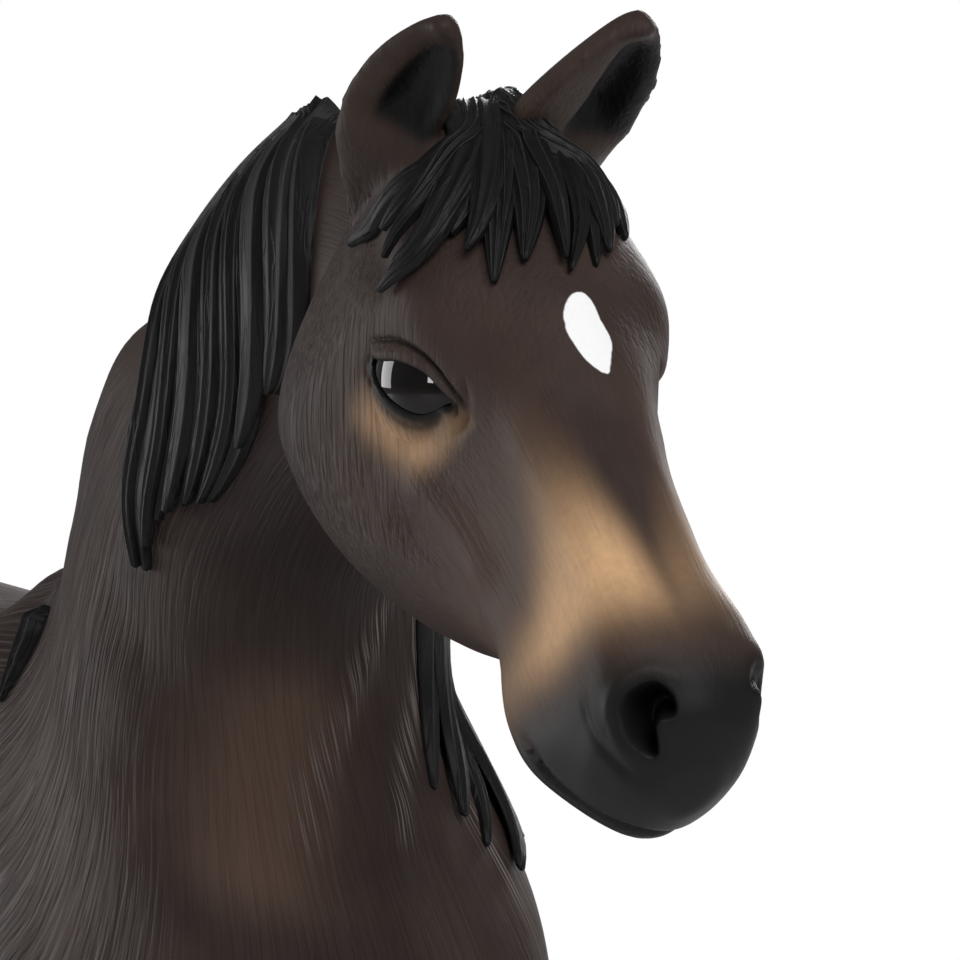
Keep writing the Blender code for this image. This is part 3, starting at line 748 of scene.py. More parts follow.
@dataclass(frozen=True)
class BayCoat:
    """Matt dark bay paint: airbrushed tan, black points, a star, painted shade and highlights.

    Patterns along the grain are given as stretch, scale, detail and bend, and steps by where
    they start and end.
    """

    body: str = "342926"
    # deep: the colour of painted shade in creases, fur grooves, the throat and undersides
    deep: str = "211a19"
    pale: str = "42352f"
    # warm: a warmer brown, on the face's sides and as a painted highlight down the windpipe
    # ridge
    warm: str = "6a5549"
    tan: str = "e2b689"
    black: str = "191919"
    # pit: near black for the painted shade deep in nostrils and ear cups
    pit_shade: str = "060606"
    # edge: the pale grey of painted highlights along the fur's crests
    edge: str = "7c7470"
    white: str = "ffffff"
    hoof: str = "241f1c"
    hoof_height: float = 0.0066
    line: float = 0.0001
    cloud_scale: float = 130.0
    fine_scale: float = 2600.0
    speck_scale: float = 900.0
    groove: tuple = (0.5, 4.6, 2.0, 0.1)
    groove_step: tuple = (0.56, 0.36)
    swell: tuple = (0.6, 0.9, 2.0, 0.3)
    crest: tuple = (0.22, 8.0, 1.0, 0.0)
    crest_step: tuple = (0.50, 0.64)
    relief: float = 0.00006
    gloss: float = 0.14

    def material(self) -> bpy.types.Material:
        """Mix the coat.

        Returns:
            The material.
        """
        paint = Paint("bay_coat_paint")
        grain, other = (paint.attribute(name, "Vector") for name in ("grain", "grain_ahead"))
        turn, furrow, black = (paint.attribute(name) for name in ("turn", "furrow", "black"))

        def strands(stretch: float, scale: float, detail: float, bend: float) -> Shade:
            """Draw a pattern out along the grain, which turns from the jowl to the nose.

            Args:
                stretch: how much of the pattern there is along the grain.
                scale: how many strands there are to a millimetre.
                detail: how many finer layers it has.
                bend: how far it is warped.

            Returns:
                The pattern.
            """
            one, two = (paint.noise(paint.stretched(way, (stretch, 1.0, 1.0)), scale, detail,
                                    0.5, bend) for way in (grain, other))
            return one * (1 - turn) + two * turn

        place = paint.place()
        cloud = paint.noise(place, self.cloud_scale, 3.0, 0.55)
        fine = paint.noise(place, self.fine_scale, 2.0, 0.6)
        groove = strands(*self.groove).step(*self.groove_step)
        swell = strands(*self.swell)
        crest = strands(*self.crest).step(*self.crest_step)
        colour = paint.mix(cloud.step(0.35, 0.68), rgb(self.body), rgb(self.pale))
        # A warmer brown; on the neck it is a painted highlight down the windpipe ridge.
        colour = paint.mix(paint.attribute("warmth"), colour, rgb(self.warm))
        tan = paint.attribute("tan") * (0.85 + 0.30 * fine)
        colour = paint.mix(tan, colour, rgb(self.tan))
        # Painted shade: eye creases, a shadow under the jaw, the throat and undersides.
        colour = paint.mix(paint.attribute("painted_shade"), colour, rgb(self.deep))
        black = (black + (cloud - 0.5) * 0.18 * black.step(0.02, 0.3)).step(0.08, 0.92)
        colour = paint.mix(black, colour, rgb(self.black))
        # Painted shade in the fur grooves.
        colour = paint.mix(groove * furrow * 0.24, colour, rgb(self.deep))
        # Painted highlight, pale grey, along the fur's crests where light catches them.
        crest_highlight = crest * (0.05 * furrow + 0.85 * paint.attribute("painted_highlight")) * (1 - black)
        colour = paint.mix(crest_highlight, colour, rgb(self.edge))
        # Painted shade, near black, deep in the nostrils and ear cups.
        colour = paint.mix(paint.attribute("pit_shade"), colour, rgb(self.pit_shade))
        up = paint.node("ShaderNodeSeparateXYZ", {}, {0: place})["Z"] - self.hoof_height
        colour = paint.mix(up.step(self.line, -self.line), colour, rgb(self.hoof))
        speck = paint.noise(place, self.speck_scale, 2.0, 0.7)
        star = (paint.attribute("star") + (speck - 0.5) * 0.10).step(0.48, 0.52)
        colour = paint.mix(star, colour, rgb(self.white))
        height = (1 - groove) * furrow * 0.8 + swell * furrow * 0.8 + fine * 0.06
        rough = 0.48 + 0.14 * cloud - 0.06 * black
        return paint.surface(Base_Color=colour, Roughness=rough, Specular_IOR_Level=self.gloss,
                             Normal=paint.bump(height, self.relief))


@dataclass(frozen=True)
class BlackHair:
    """Carved hair in black paint, with a painted highlight along its ridges."""

    body: str = "101010"
    dust: str = "1d1c1c"
    # crest: the grey of the painted highlight along the ridges
    crest: str = "3e3d3d"
    line_scale: float = 2.2
    fine_scale: float = 2400.0
    relief: float = 0.00007
    gloss: float = 0.18

    def material(self) -> bpy.types.Material:
        """Mix the hair's paint.

        Returns:
            The material.
        """
        paint = Paint("black_hair_paint")
        ridge = paint.attribute("ridge")
        line = paint.noise(paint.attribute("strand", "Vector"), self.line_scale, 2.0, 0.55, 0.15)
        fine = paint.noise(paint.place(), self.fine_scale, 2.0, 0.6)
        thread = 1 - (line - 0.5).sum("ABSOLUTE").step(0.0, 0.05)
        colour = paint.mix(fine.step(0.3, 0.8) * 0.25, rgb(self.body), rgb(self.dust))
        # Painted highlight along the carved ridges.
        colour = paint.mix(ridge.step(0.55, 1.0) * (0.35 + 0.65 * line), colour,
                           rgb(self.crest))
        height = line * 0.6 + thread * 0.25 + fine * 0.12
        rough = 0.42 + 0.14 * line
        return paint.surface(Base_Color=colour, Roughness=rough, Specular_IOR_Level=self.gloss,
                             Normal=paint.bump(height, self.relief))


@dataclass(frozen=True)
class GlossEye:
    """Near black beads under clear lacquer."""

    body: str = "070606"
    iris: str = "120c09"
    cloud_scale: float = 700.0
    rough: float = 0.03
    index: float = 1.38

    def material(self) -> bpy.types.Material:
        """Mix the eye's lacquer.

        Returns:
            The material.
        """
        paint = Paint("eye_lacquer")
        cloud = paint.noise(paint.place(), self.cloud_scale, 2.0)
        colour = paint.mix(cloud.step(0.4, 0.7), rgb(self.body), rgb(self.iris))
        return paint.surface(Base_Color=colour, Roughness=self.rough, IOR=self.index)


# ---------------------------------------------------------------- the figure's sizes


@dataclass(frozen=True)
class Trunk:
    """Barrel, croup and chest, and where they place the withers."""

    length: float = 80.0
    withers_height: float = 80.0
    depth: float = 37.0
    width: float = 23.8
    withers_share: float = 0.706
    stations: tuple = (
        (0.000, 0.700, 0.22, 0.68, 0.30, 0.58, 0.22, 0.48, 0.450),
        (0.030, 0.820, 0.42, 0.77, 0.60, 0.56, 0.46, 0.36, 0.300),
        (0.080, 0.910, 0.55, 0.85, 0.80, 0.56, 0.66, 0.28, 0.200),
        (0.160, 1.020, 0.62, 0.93, 0.92, 0.56, 0.80, 0.24, 0.130),
        (0.260, 1.050, 0.62, 0.96, 0.98, 0.58, 0.86, 0.22, 0.100),
        (0.380, 1.025, 0.60, 0.94, 0.96, 0.52, 0.84, 0.16, 0.050),
        (0.480, 0.990, 0.60, 0.91, 0.98, 0.46, 0.82, 0.10, -0.010),
        (0.580, 0.972, 0.58, 0.90, 1.00, 0.46, 0.82, 0.08, -0.030),
        (0.660, 0.982, 0.52, 0.89, 0.96, 0.48, 0.80, 0.08, -0.010),
        (0.715, 1.000, 0.42, 0.88, 0.93, 0.50, 0.78, 0.09, 0.000),
        (0.790, 0.960, 0.44, 0.84, 0.91, 0.52, 0.76, 0.12, 0.025),
        (0.880, 0.830, 0.48, 0.73, 0.84, 0.50, 0.72, 0.19, 0.080),
        (0.955, 0.680, 0.50, 0.62, 0.71, 0.46, 0.60, 0.25, 0.170),
        (1.000, 0.560, 0.32, 0.53, 0.44, 0.42, 0.32, 0.31, 0.260),
    )
    around: int = 96
    along: int = 120

    def point(self, along: float, up: float) -> Array:
        """A place on the middle plane, along the body and up from the breastbone."""
        return np.array(((along - 0.5) * self.length, 0.0,
                         self.withers_height - self.depth * (1 - up)))

    def form(self) -> Clay:
        """Build the trunk's skin.

        Returns:
            The trunk.
        """
        rings = sections(self.stations, self.length, self.width / 2, self.depth, self.around,
                         self.along)
        rings[:, :, 0] -= self.length / 2
        rings[:, :, 2] += self.withers_height - self.depth
        return Clay.loft("trunk", rings)


def sections(table: tuple, length: float, half_width: float, height: float, around: int,
             along: int) -> Array:
    """Draw rings of a form that is the same on both sides.

    Args:
        table: stations as along, top, three pairs of width and height, and bottom.
        length: what a share along stands for.
        half_width: what a share of width stands for.
        height: what a share of height stands for.
        around: points on each ring.
        along: how many rings.

    Returns:
        The rings, as (along, around, 3).
    """
    rows = np.array(table)
    places = np.linspace(rows[0, 0], rows[-1, 0], along)
    top, w1, z1, w2, z2, w3, z3, low = smooth(rows[:, 0], rows[:, 1:], places).T
    flat = np.zeros(along)
    wide = np.stack((flat, w1, w2, w3, flat, -w3, -w2, -w1), axis=1)
    high = np.stack((top, z1, z2, z3, low, z3, z2, z1), axis=1)
    loops = outline(np.stack((wide, high), axis=2), around)
    forward = np.repeat(places[:, None, None] * length, around, axis=1)
    return np.concatenate((forward, loops * (half_width, height)), axis=2)


@dataclass(frozen=True)
class Neck:
    """Neck from the withers to the poll, with the head's turn worked in."""

    withers: tuple[float, float, float]
    reach: float = 29.5
    rise: float = 21.0
    width: float = 20.0
    egg: float = 0.20
    seam: tuple = ((0.00, 0.00), (0.74, -0.71))
    head_turn: float = math.radians(21.0)
    stations: tuple = (
        (-0.28, -0.30, 0.62, -1.43, 0.49, 0.00),
        (-0.13, -0.13, 0.74, -1.10, 0.50, 0.00),
        (-0.02, 0.00, 0.74, -0.71, 0.46, 0.00),
        (0.005, 0.13, 0.630, -0.38, 0.375, 0.03),
        (0.055, 0.33, 0.555, -0.12, 0.310, 0.12),
        (0.165, 0.57, 0.575, 0.095, 0.272, 0.30),
        (0.365, 0.82, 0.71, 0.285, 0.245, 0.55),
        (0.67, 1.00, 0.86, 0.405, 0.220, 0.82),
        (1.01, 0.92, 1.00, 0.45, 0.180, 1.00),
    )
    around: int = 96
    along: int = 96

    def lay(self, count: int) -> tuple[Array, Array, Array, Array, Array]:
        """Lay stations along the neck.

        Args:
            count: how many.

        Returns:
            Their middles, crest less throat, half widths, turns, and middles before turning.
        """
        rows = spread(np.array(self.stations), count)
        scale = np.array((self.reach, self.rise))
        crest, throat = rows[:, 0:2] * scale, rows[:, 2:4] * scale
        turn = rows[:, 5] * self.head_turn
        middle = (crest + throat) / 2
        steps, between = np.diff(middle[:, 0]), (turn[1:] + turn[:-1]) / 2
        forward = middle[0, 0] + np.concatenate(([0.0], np.cumsum(steps * np.cos(between))))
        aside = -np.concatenate(([0.0], np.cumsum(steps * np.sin(between))))
        centre = np.column_stack((forward, aside, middle[:, 1])) + np.array(self.withers)
        return centre, crest - throat, rows[:, 4] * self.width, turn, middle

    def form(self) -> Clay:
        """Build the neck's skin, an egg section narrow at the crest.

        Returns:
            The neck.
        """
        centre, depth, wide, turn, _ = self.lay(self.along)
        angle = ring(self.around)
        up = np.cos(angle)[None, :] / 2
        out = wide[:, None] * (np.sin(angle) * (1 - self.egg * np.cos(angle)))[None, :]
        forward = up * depth[:, :1]
        cos, sin = np.cos(turn)[:, None], np.sin(turn)[:, None]
        x = centre[:, :1] + forward * cos + out * sin
        y = centre[:, 1:2] - forward * sin + out * cos
        z = centre[:, 2:] + up * depth[:, 1:]
        return Clay.loft("neck", np.stack((x, y, z), axis=2))

    def chart(self, places: Array) -> tuple[Array, Array, Array]:
        """Work out coordinates on the neck's skin.

        Args:
            places: points on or near the neck.

        Returns:
            How far along the neck each lies, its angle round from the throat, and how far
            it lies before the first station.
        """
        centre, depth, wide, turn, _ = self.lay(self.along)
        run = np.concatenate(([0], np.cumsum(np.linalg.norm(np.diff(centre, axis=0), axis=1))))
        along, around = np.zeros((2, len(places)))
        for number in range(self.along):
            rel = places - centre[number]
            cos, sin = math.cos(turn[number]), math.sin(turn[number])
            forward, out = rel[:, 0] * cos - rel[:, 1] * sin, rel[:, 0] * sin + rel[:, 1] * cos
            size = math.hypot(*depth[number])
            lean = depth[number] / size
            past = forward * lean[1] - rel[:, 2] * lean[0]
            up = forward * lean[0] + rel[:, 2] * lean[1]
            angle = np.arctan2(out / wide[number], -2 * up / size)
            if number == 0:
                first = past
            else:
                share = np.clip(before / np.where(before > past, before - past, 1.0), 0.0, 1.0)
                here = (before > 0) & (past <= 0)
                gap = run[number] - run[number - 1]
                along = np.where(here, run[number - 1] + share * gap, along)
                around = np.where(here, old * (1 - share) + angle * share, around)
            before, old = past, angle
        beyond = before > 0
        return (np.where(beyond, run[-1] + before, along), np.where(beyond, old, around), first)

    def head_place(self, dip: float, tilt: float) -> Matrix:
        """Place the head, its origin at the poll.

        Args:
            dip: how far the nose is lowered.
            tilt: how far the head leans to a side.

        Returns:
            The placing.
        """
        centre, _, _, turn, middle = self.lay(len(self.stations))
        heading = Matrix.Rotation(-turn[-1], 4, "Z")
        offset = Vector((self.reach - middle[-1, 0], 0.0, self.rise - middle[-1, 1]))
        poll = Vector(centre[-1]) + heading @ offset
        return (Matrix.Translation(poll) @ heading @ Matrix.Rotation(dip, 4, "Y")
                @ Matrix.Rotation(tilt, 4, "X"))


@dataclass(frozen=True)
class Leg:
    """One leg from inside the body down to its hoof."""

    name: str
    side: Side
    place_share: float
    depth: float
    width: float
    spread: float
    step: float
    seam: float
    stations: tuple
    around: int = 56
    along: int = 120

    @property
    def hind(self) -> bool:
        """Whether it is a hind leg."""
        return self.place_share < 0.5

    def form(self, trunk: Trunk) -> Clay:
        """Build the leg's skin.

        Args:
            trunk: the trunk that it carries.

        Returns:
            The leg.
        """
        table = np.array(self.stations)[::-1]
        places = np.linspace(table[0, 0], table[-1, 0], self.along)
        rear, front, wide, out = smooth(table[:, 0], table[:, 1:], places).T
        height = places * trunk.withers_height
        shift = self.step * np.clip(1 - height / self.seam, 0.0, None)
        middle = (self.place_share - 0.5) * trunk.length + (front + rear) / 2 * self.depth
        angle = ring(self.around)
        half = (front - rear)[:, None] / 2 * self.depth
        x = (middle + shift)[:, None] + half * np.cos(angle)
        y = self.side.value * out[:, None] * self.spread
        y = y + wide[:, None] * self.width * np.sin(angle)
        z = np.repeat(height[:, None], self.around, axis=1)
        return Clay.loft(self.name, np.stack((x, y, z), axis=2), dome=0.0)


FORELEG_STATIONS = (
    (0.850, -0.96, 0.42, 0.55, 0.38),
    (0.775, -0.85, 0.81, 0.60, 0.43),
    (0.688, -0.62, 0.95, 0.60, 0.48),
    (0.612, -0.58, 0.73, 0.55, 0.50),
    (0.562, -0.56, 0.48, 0.50, 0.50),
    (0.512, -0.47, 0.35, 0.44, 0.485),
    (0.450, -0.35, 0.28, 0.37, 0.47),
    (0.388, -0.22, 0.25, 0.31, 0.455),
    (0.344, -0.19, 0.29, 0.31, 0.45),
    (0.312, -0.20, 0.30, 0.32, 0.45),
    (0.275, -0.18, 0.19, 0.27, 0.45),
    (0.212, -0.15, 0.145, 0.215, 0.45),
    (0.156, -0.18, 0.14, 0.226, 0.45),
    (0.125, -0.22, 0.18, 0.27, 0.45),
    (0.090, -0.085, 0.26, 0.24, 0.45),
    (0.060, -0.015, 0.42, 0.32, 0.45),
    (0.000, -0.04, 0.59, 0.40, 0.45),
)
HIND_LEG_STATIONS = (
    (0.900, -0.07, 0.59, 0.45, 0.34),
    (0.825, -0.30, 0.72, 0.53, 0.41),
    (0.738, -0.33, 0.78, 0.57, 0.46),
    (0.650, -0.28, 0.74, 0.56, 0.50),
    (0.575, -0.185, 0.65, 0.50, 0.50),
    (0.525, -0.15, 0.50, 0.44, 0.49),
    (0.475, -0.155, 0.315, 0.36, 0.48),
    (0.425, -0.21, 0.155, 0.30, 0.465),
    (0.381, -0.30, 0.026, 0.255, 0.455),
    (0.350, -0.35, -0.044, 0.25, 0.45),
    (0.319, -0.333, -0.08, 0.265, 0.45),
    (0.275, -0.28, -0.096, 0.235, 0.45),
    (0.212, -0.244, -0.10, 0.186, 0.45),
    (0.156, -0.233, -0.078, 0.20, 0.45),
    (0.125, -0.237, -0.052, 0.245, 0.45),
    (0.090, -0.155, -0.007, 0.213, 0.45),
    (0.060, -0.133, 0.074, 0.287, 0.45),
    (0.000, -0.155, 0.14, 0.356, 0.45),
)


# ---------------------------------------------------------------- head


def surface_axes(outward: tuple[float, float, float]) -> tuple[Array, Array, Array]:
    """Find the axes of a plane that is drawn on, from the way that it faces.

    Args:
        outward: the way that it faces.

    Returns:
        Forward and up along the plane, and outwards.
    """
    out = np.array(outward)
    out /= np.linalg.norm(out)
    forward = np.array((1.0, 0.0, 0.0)) - out[0] * out
    forward /= np.linalg.norm(forward)
    up = np.cross(out, forward)
    return forward, (up if up[2] > 0 else -up), out


@dataclass(frozen=True)
class Eye:
    """A glossy bead between lids, in the head's frame, given for the right side.

    Its lines are drawn on the plane that faces outwards, forward and up from the bead. A roll
    is given by its height, its place and its width, and a fold by its depth and width.
    """

    packed: tuple[float, float, float] = (10.296, -3.329, -3.808)
    centre: tuple[float, float, float] = (10.23, -3.16, -3.86)
    outward: tuple[float, float, float] = (0.42, -0.86, 0.28)
    radius: float = 2.85
    bulge: float = 2.12
    rim: float = 0.11
    upper_roll: tuple[float, float, float] = (0.13, 0.32, 0.26)
    lower_roll: tuple[float, float, float] = (0.07, 0.22, 0.16)
    slant: tuple[float, float] = (0.395, 0.11)
    hood: float = 0.25
    socket: float = 0.42
    crease_fold: tuple[float, float] = (0.17, 0.09)
    pouch_fold: tuple[float, float] = (0.07, 0.13)
    tear_fold: tuple[float, float] = (0.10, 0.07)
    opening: tuple = (
        (-2.25, -1.00), (-1.71, -0.54), (-1.09, 0.04), (-0.40, 0.48), (0.37, 0.75),
        (0.97, 0.77), (1.54, 0.70), (1.80, 0.60), (1.62, 0.30), (1.41, -0.14), (1.05, -0.62),
        (0.51, -0.93), (-0.19, -1.14), (-0.92, -1.24), (-1.68, -1.25),
    )
    crease: tuple = (
        (-2.95, -0.80), (-2.60, -0.35), (-2.20, 0.05), (-1.66, 0.54), (-0.91, 0.98),
        (-0.23, 1.22), (0.36, 1.32), (0.99, 1.32), (1.62, 1.22), (2.29, 0.95), (2.73, 0.76),
    )
    pouch: tuple = (
        (-2.70, -1.15), (-2.15, -1.60), (-1.47, -1.68), (-0.78, -1.62), (0.01, -1.53),
        (0.81, -1.33), (1.37, -0.91), (1.70, -0.36), (1.95, 0.30),
    )
    tear: tuple = ((1.90, 0.80), (2.12, 0.60), (2.28, 0.38))

    def lids(self, places: Array) -> tuple[Array, Array, Array, Array]:
        """Shape the lids around the bead.

        Args:
            places: points in the head's frame, on the right side.

        Returns:
            The moved points, and how black, how tan and how much painted shade each has.
        """
        forward, up, out = surface_axes(self.outward)
        rel = places - np.array(self.centre)
        drawn = np.column_stack((rel @ forward, rel @ up))
        height = rel @ out
        near = (np.linalg.norm(drawn, axis=1) < 5.0) & (height > -1.2)
        line = outline(np.array(self.opening)[None], 120)[0]
        edge, _ = distance_to_line(drawn, line, closed=True)
        slope, level = self.slant
        upper = ramp(drawn[:, 1] - slope * drawn[:, 0] + level, -0.25, 0.25)
        round_off = (drawn ** 2).sum(axis=1) / self.radius ** 2
        bead = self.bulge * np.sqrt(np.clip(1 - round_off, 0.10, 1.0))
        past = np.maximum(edge, 0.0)
        rolls = [roll * bell(edge - at, wide) for roll, at, wide in (self.upper_roll,
                                                                     self.lower_roll)]
        lid = bead + self.rim * ramp(edge, -0.03, 0.05) + upper * rolls[0]
        lid += (1 - upper) * rolls[1]
        roof = bead + 0.24 + 0.90 * past + self.hood * upper * ramp(edge, 0.50, 0.95)
        skin = -soft_max(-soft_max(height, lid, 0.12), -roof, 0.15)
        sunk = bead + self.rim - self.socket * ramp(-edge, -0.03, 0.08)
        skin = np.where(edge < 0.0, sunk, skin)
        fold, ends = crease(drawn, self.crease)
        bag, bag_ends = crease(drawn, self.pouch)
        nick, nick_ends = crease(drawn, self.tear)
        for away, fade, (depth, wide) in ((fold, ends, self.crease_fold),
                                          (bag, bag_ends, self.pouch_fold),
                                          (nick, nick_ends, self.tear_fold)):
            skin -= depth * bell(away, wide) * fade
        blend = near * (1 - ramp(edge, 0.6, 2.6))
        black = near * bell(past, 0.09 + 0.27 * (1 - upper))
        # Painted shade in the crease above the lid, the pouch below it and the tear nick.
        painted_shade = np.maximum(0.75 * bell(fold, 0.12) * ends, 0.6 * bell(bag, 0.20) * bag_ends)
        painted_shade = near * np.maximum(painted_shade, 0.7 * bell(nick, 0.08) * nick_ends)
        tan = near * bell(edge - 1.35, 0.85) * (1 - upper)
        tan *= ramp(drawn[:, 0], -2.8, -0.6) * (1 - ramp(drawn[:, 0], 1.6, 3.6))
        moved = places + out * ((skin - height) * blend)[:, None]
        return moved, black, painted_shade, tan

    def bead(self) -> Matrix:
        """Work out the placing of a unit ball as the right bead.

        Returns:
            The placing.
        """
        forward, up, out = surface_axes(self.outward)
        shape = np.column_stack((forward * self.radius, up * self.radius, out * self.bulge))
        return Matrix.Translation(self.centre) @ Matrix(shape.tolist()).to_4x4()


@dataclass(frozen=True)
class Nostril:
    """A comma shaped cavity with a raised wing, in the head's frame, for the right side."""

    centre: tuple[float, float, float] = (29.86, -2.8, -3.3)
    outward: tuple[float, float, float] = (0.62, -0.68, 0.38)
    depth: float = 1.5
    rise: float = 0.13
    wing_width: float = 0.32
    fold_depth: float = 0.12
    fold_width: float = 0.24
    cavity: tuple = (
        (-0.35, 1.86), (-0.52, 1.28), (-0.38, 0.85), (0.06, 0.53), (0.61, 0.30),
        (1.16, 0.27), (1.40, 0.42), (1.02, 0.80), (0.72, 1.06), (0.62, 1.40), (0.80, 1.77),
        (0.46, 2.02), (0.02, 2.04),
    )
    rim: tuple = (
        (0.70, 2.62), (0.05, 2.60), (-0.56, 2.33), (-0.92, 1.91), (-1.04, 1.40),
        (-0.92, 0.79), (-0.57, 0.32), (-0.09, 0.05), (0.54, -0.15), (1.21, -0.10), (1.79, 0.00),
    )
    fold: tuple = (
        (-2.30, 0.40), (-1.93, -0.27), (-1.23, -0.74), (-0.28, -0.89), (0.66, -0.84),
        (1.66, -0.70), (2.17, -0.49),
    )

    def shape(self, places: Array, normals: Array) -> tuple[Array, Array]:
        """Hollow the cavity and raise its wing.

        Args:
            places: points in the head's frame, on the right side.
            normals: which way they face.

        Returns:
            The moved points, and how much painted shade darkens each, in and round the cavity.
        """
        forward, up, out = surface_axes(self.outward)
        rel = places - np.array(self.centre)
        chart = np.column_stack((rel @ forward, rel @ up))
        near = (np.linalg.norm(rel, axis=1) < 5.0) & (normals @ out > -0.1)
        hole, _ = distance_to_line(chart, outline(np.array(self.cavity)[None], 80)[0], True)
        wing, fade = crease(chart, self.rim, 0.30)
        groove, ends = crease(chart, self.fold, 0.35)
        rise = (self.rise * bell(wing, self.wing_width) * fade
                - self.fold_depth * bell(groove, self.fold_width) * ends)
        sink = self.depth * ramp(-hole, -0.25, 0.50)
        amount = near * ramp(normals @ out, -0.1, 0.3)
        moved = places + normals * (rise * amount)[:, None] - out * (sink * amount)[:, None]
        return moved, near * ramp(-hole, -0.55, 0.25)


@dataclass(frozen=True)
class Ear:
    """One cupped ear: its lips and hollow are shares of its wall and of its height."""

    side: Side
    root: tuple[float, float, float]
    opening: float
    lean_out: float
    shift: float
    flare: float
    height: float
    width: float
    far_lip: float = 0.8
    near_lip: float = 2.0
    wall: float = 0.80
    lean_forward: float = math.radians(8.0)
    foot_share: float = -0.42
    taper_share: float = 0.38
    cup: tuple[float, float, float] = (0.43, 0.10, -0.33)
    rows: int = 84
    across: int = 41

    def matrix(self) -> Matrix:
        """Work out the placing of the ear on the head.

        Returns:
            The placing.
        """
        side = self.side.value
        return (Matrix.Translation(self.root) @ Matrix.Rotation(self.lean_forward, 4, "Y")
                @ Matrix.Rotation(-side * self.lean_out, 4, "X")
                @ Matrix.Rotation(side * self.opening, 4, "Z"))

    def half_width(self, share: Array) -> Array:
        """Half the ear's width: even below, and round at the tip."""
        part = np.clip((share - self.taper_share) / (1 - self.taper_share), 0.0, 0.999)
        return self.width / 2 * (1 - part ** 2) ** 0.65

    def form(self) -> Clay:
        """Build crescent sections from below the root to the tip.

        Returns:
            The ear.
        """
        share = np.linspace(self.foot_share, 1.0, self.rows)[:, None]
        up = np.clip(share, 0.0, 1.0)
        sunk = 1 - 0.45 * ramp(-share, 0.0, -self.foot_share)
        wide = self.half_width(share) * sunk
        start, rise, fall = self.cup
        cup = self.width * (start + rise * up + fall * up ** 2) * ramp(1 - up, -0.25, 0.12)
        cup, base = cup * sunk, (1 - up) * ramp(share, -0.40, 0.25)
        lean = self.height * 0.16 * (up ** 2 - up)
        back = np.linspace(-np.pi / 2, np.pi / 2, self.across)[None, :]
        front = np.linspace(np.pi / 2, -np.pi / 2, self.across)[None, 1:-1]
        hollow = ramp(up, 0.06, 0.40) * ramp(1 - up, 0.02, 0.22)
        inner = -np.clip(cup - self.wall, 0.0, None) * np.cos(front) * hollow
        inner = inner + self.wall * (1 - hollow) * 0.8 * np.cos(front) ** 0.5
        left = np.clip(wide - self.near_lip * self.wall, 0.3 * wide, None)
        right = np.clip(wide - self.far_lip * self.wall, 0.5 * wide, None)
        lip = np.where(front < 0, left * hollow + (1 - hollow) * wide * 0.97, right)
        bulge = self.flare * (1 - up) * ramp(share, 0.05, 0.40)
        outer = wide * np.sin(back) + np.minimum(np.sin(back), 0.0) * bulge
        x = np.concatenate((-cup * np.cos(back), inner), axis=1) - lean
        y = np.concatenate((outer, lip * np.sin(front)), axis=1) - self.shift * base
        z = np.repeat(share * self.height, x.shape[1], axis=1)
        ear = Clay.loft("ear", np.stack((x, y, z), axis=2), dome=0.4)
        ear.turn(self.matrix())
        return ear

    def chart(self, vectors: Array, moved: bool) -> Array:
        """Turn vectors of the head's frame into the ear's.

        Args:
            vectors: the vectors.
            moved: whether they are places, and not ways.

        Returns:
            The vectors in the ear's frame.
        """
        into = np.array(self.matrix().inverted())
        return vectors @ into[:3, :3].T + into[:3, 3] * moved

    def near(self, places: Array, top: float, foot: float = -1.2,
             reach: float = 5.0) -> Array:
        """Find the points that lie on the ear.

        Args:
            places: the points.
            top: how high above its root.
            foot: how low.
            reach: how far from its middle.

        Returns:
            Which points do.
        """
        rel = self.chart(places, True)
        around = np.linalg.norm(rel[:, :2], axis=1)
        return (rel[:, 2] > foot) & (rel[:, 2] < top) & (around < reach)

    def hollow(self, places: Array, normals: Array) -> Array:
        """Work out how far each point lies inside the cup.

        Args:
            places: the points.
            normals: which way they face.

        Returns:
            A share from 0 to 1 for each.
        """
        rel, faces = self.chart(places, True), self.chart(normals, False)
        share = rel[:, 2] / self.height
        wide = np.maximum(self.half_width(share), 0.3)
        across = rel[:, 1] + self.shift * np.clip(1 - share, 0.0, 1.0) - 0.65 * self.wall
        inside = ramp(share, 0.16, 0.32) * ramp(1 - share, 0.08, 0.24)
        inside *= 1 - ramp(np.abs(across) / np.maximum(wide - self.wall, 0.3), 0.75, 1.25)
        return inside * (np.abs(rel[:, 0]) < self.width) * ramp(faces[:, 0], -0.25, 0.15)


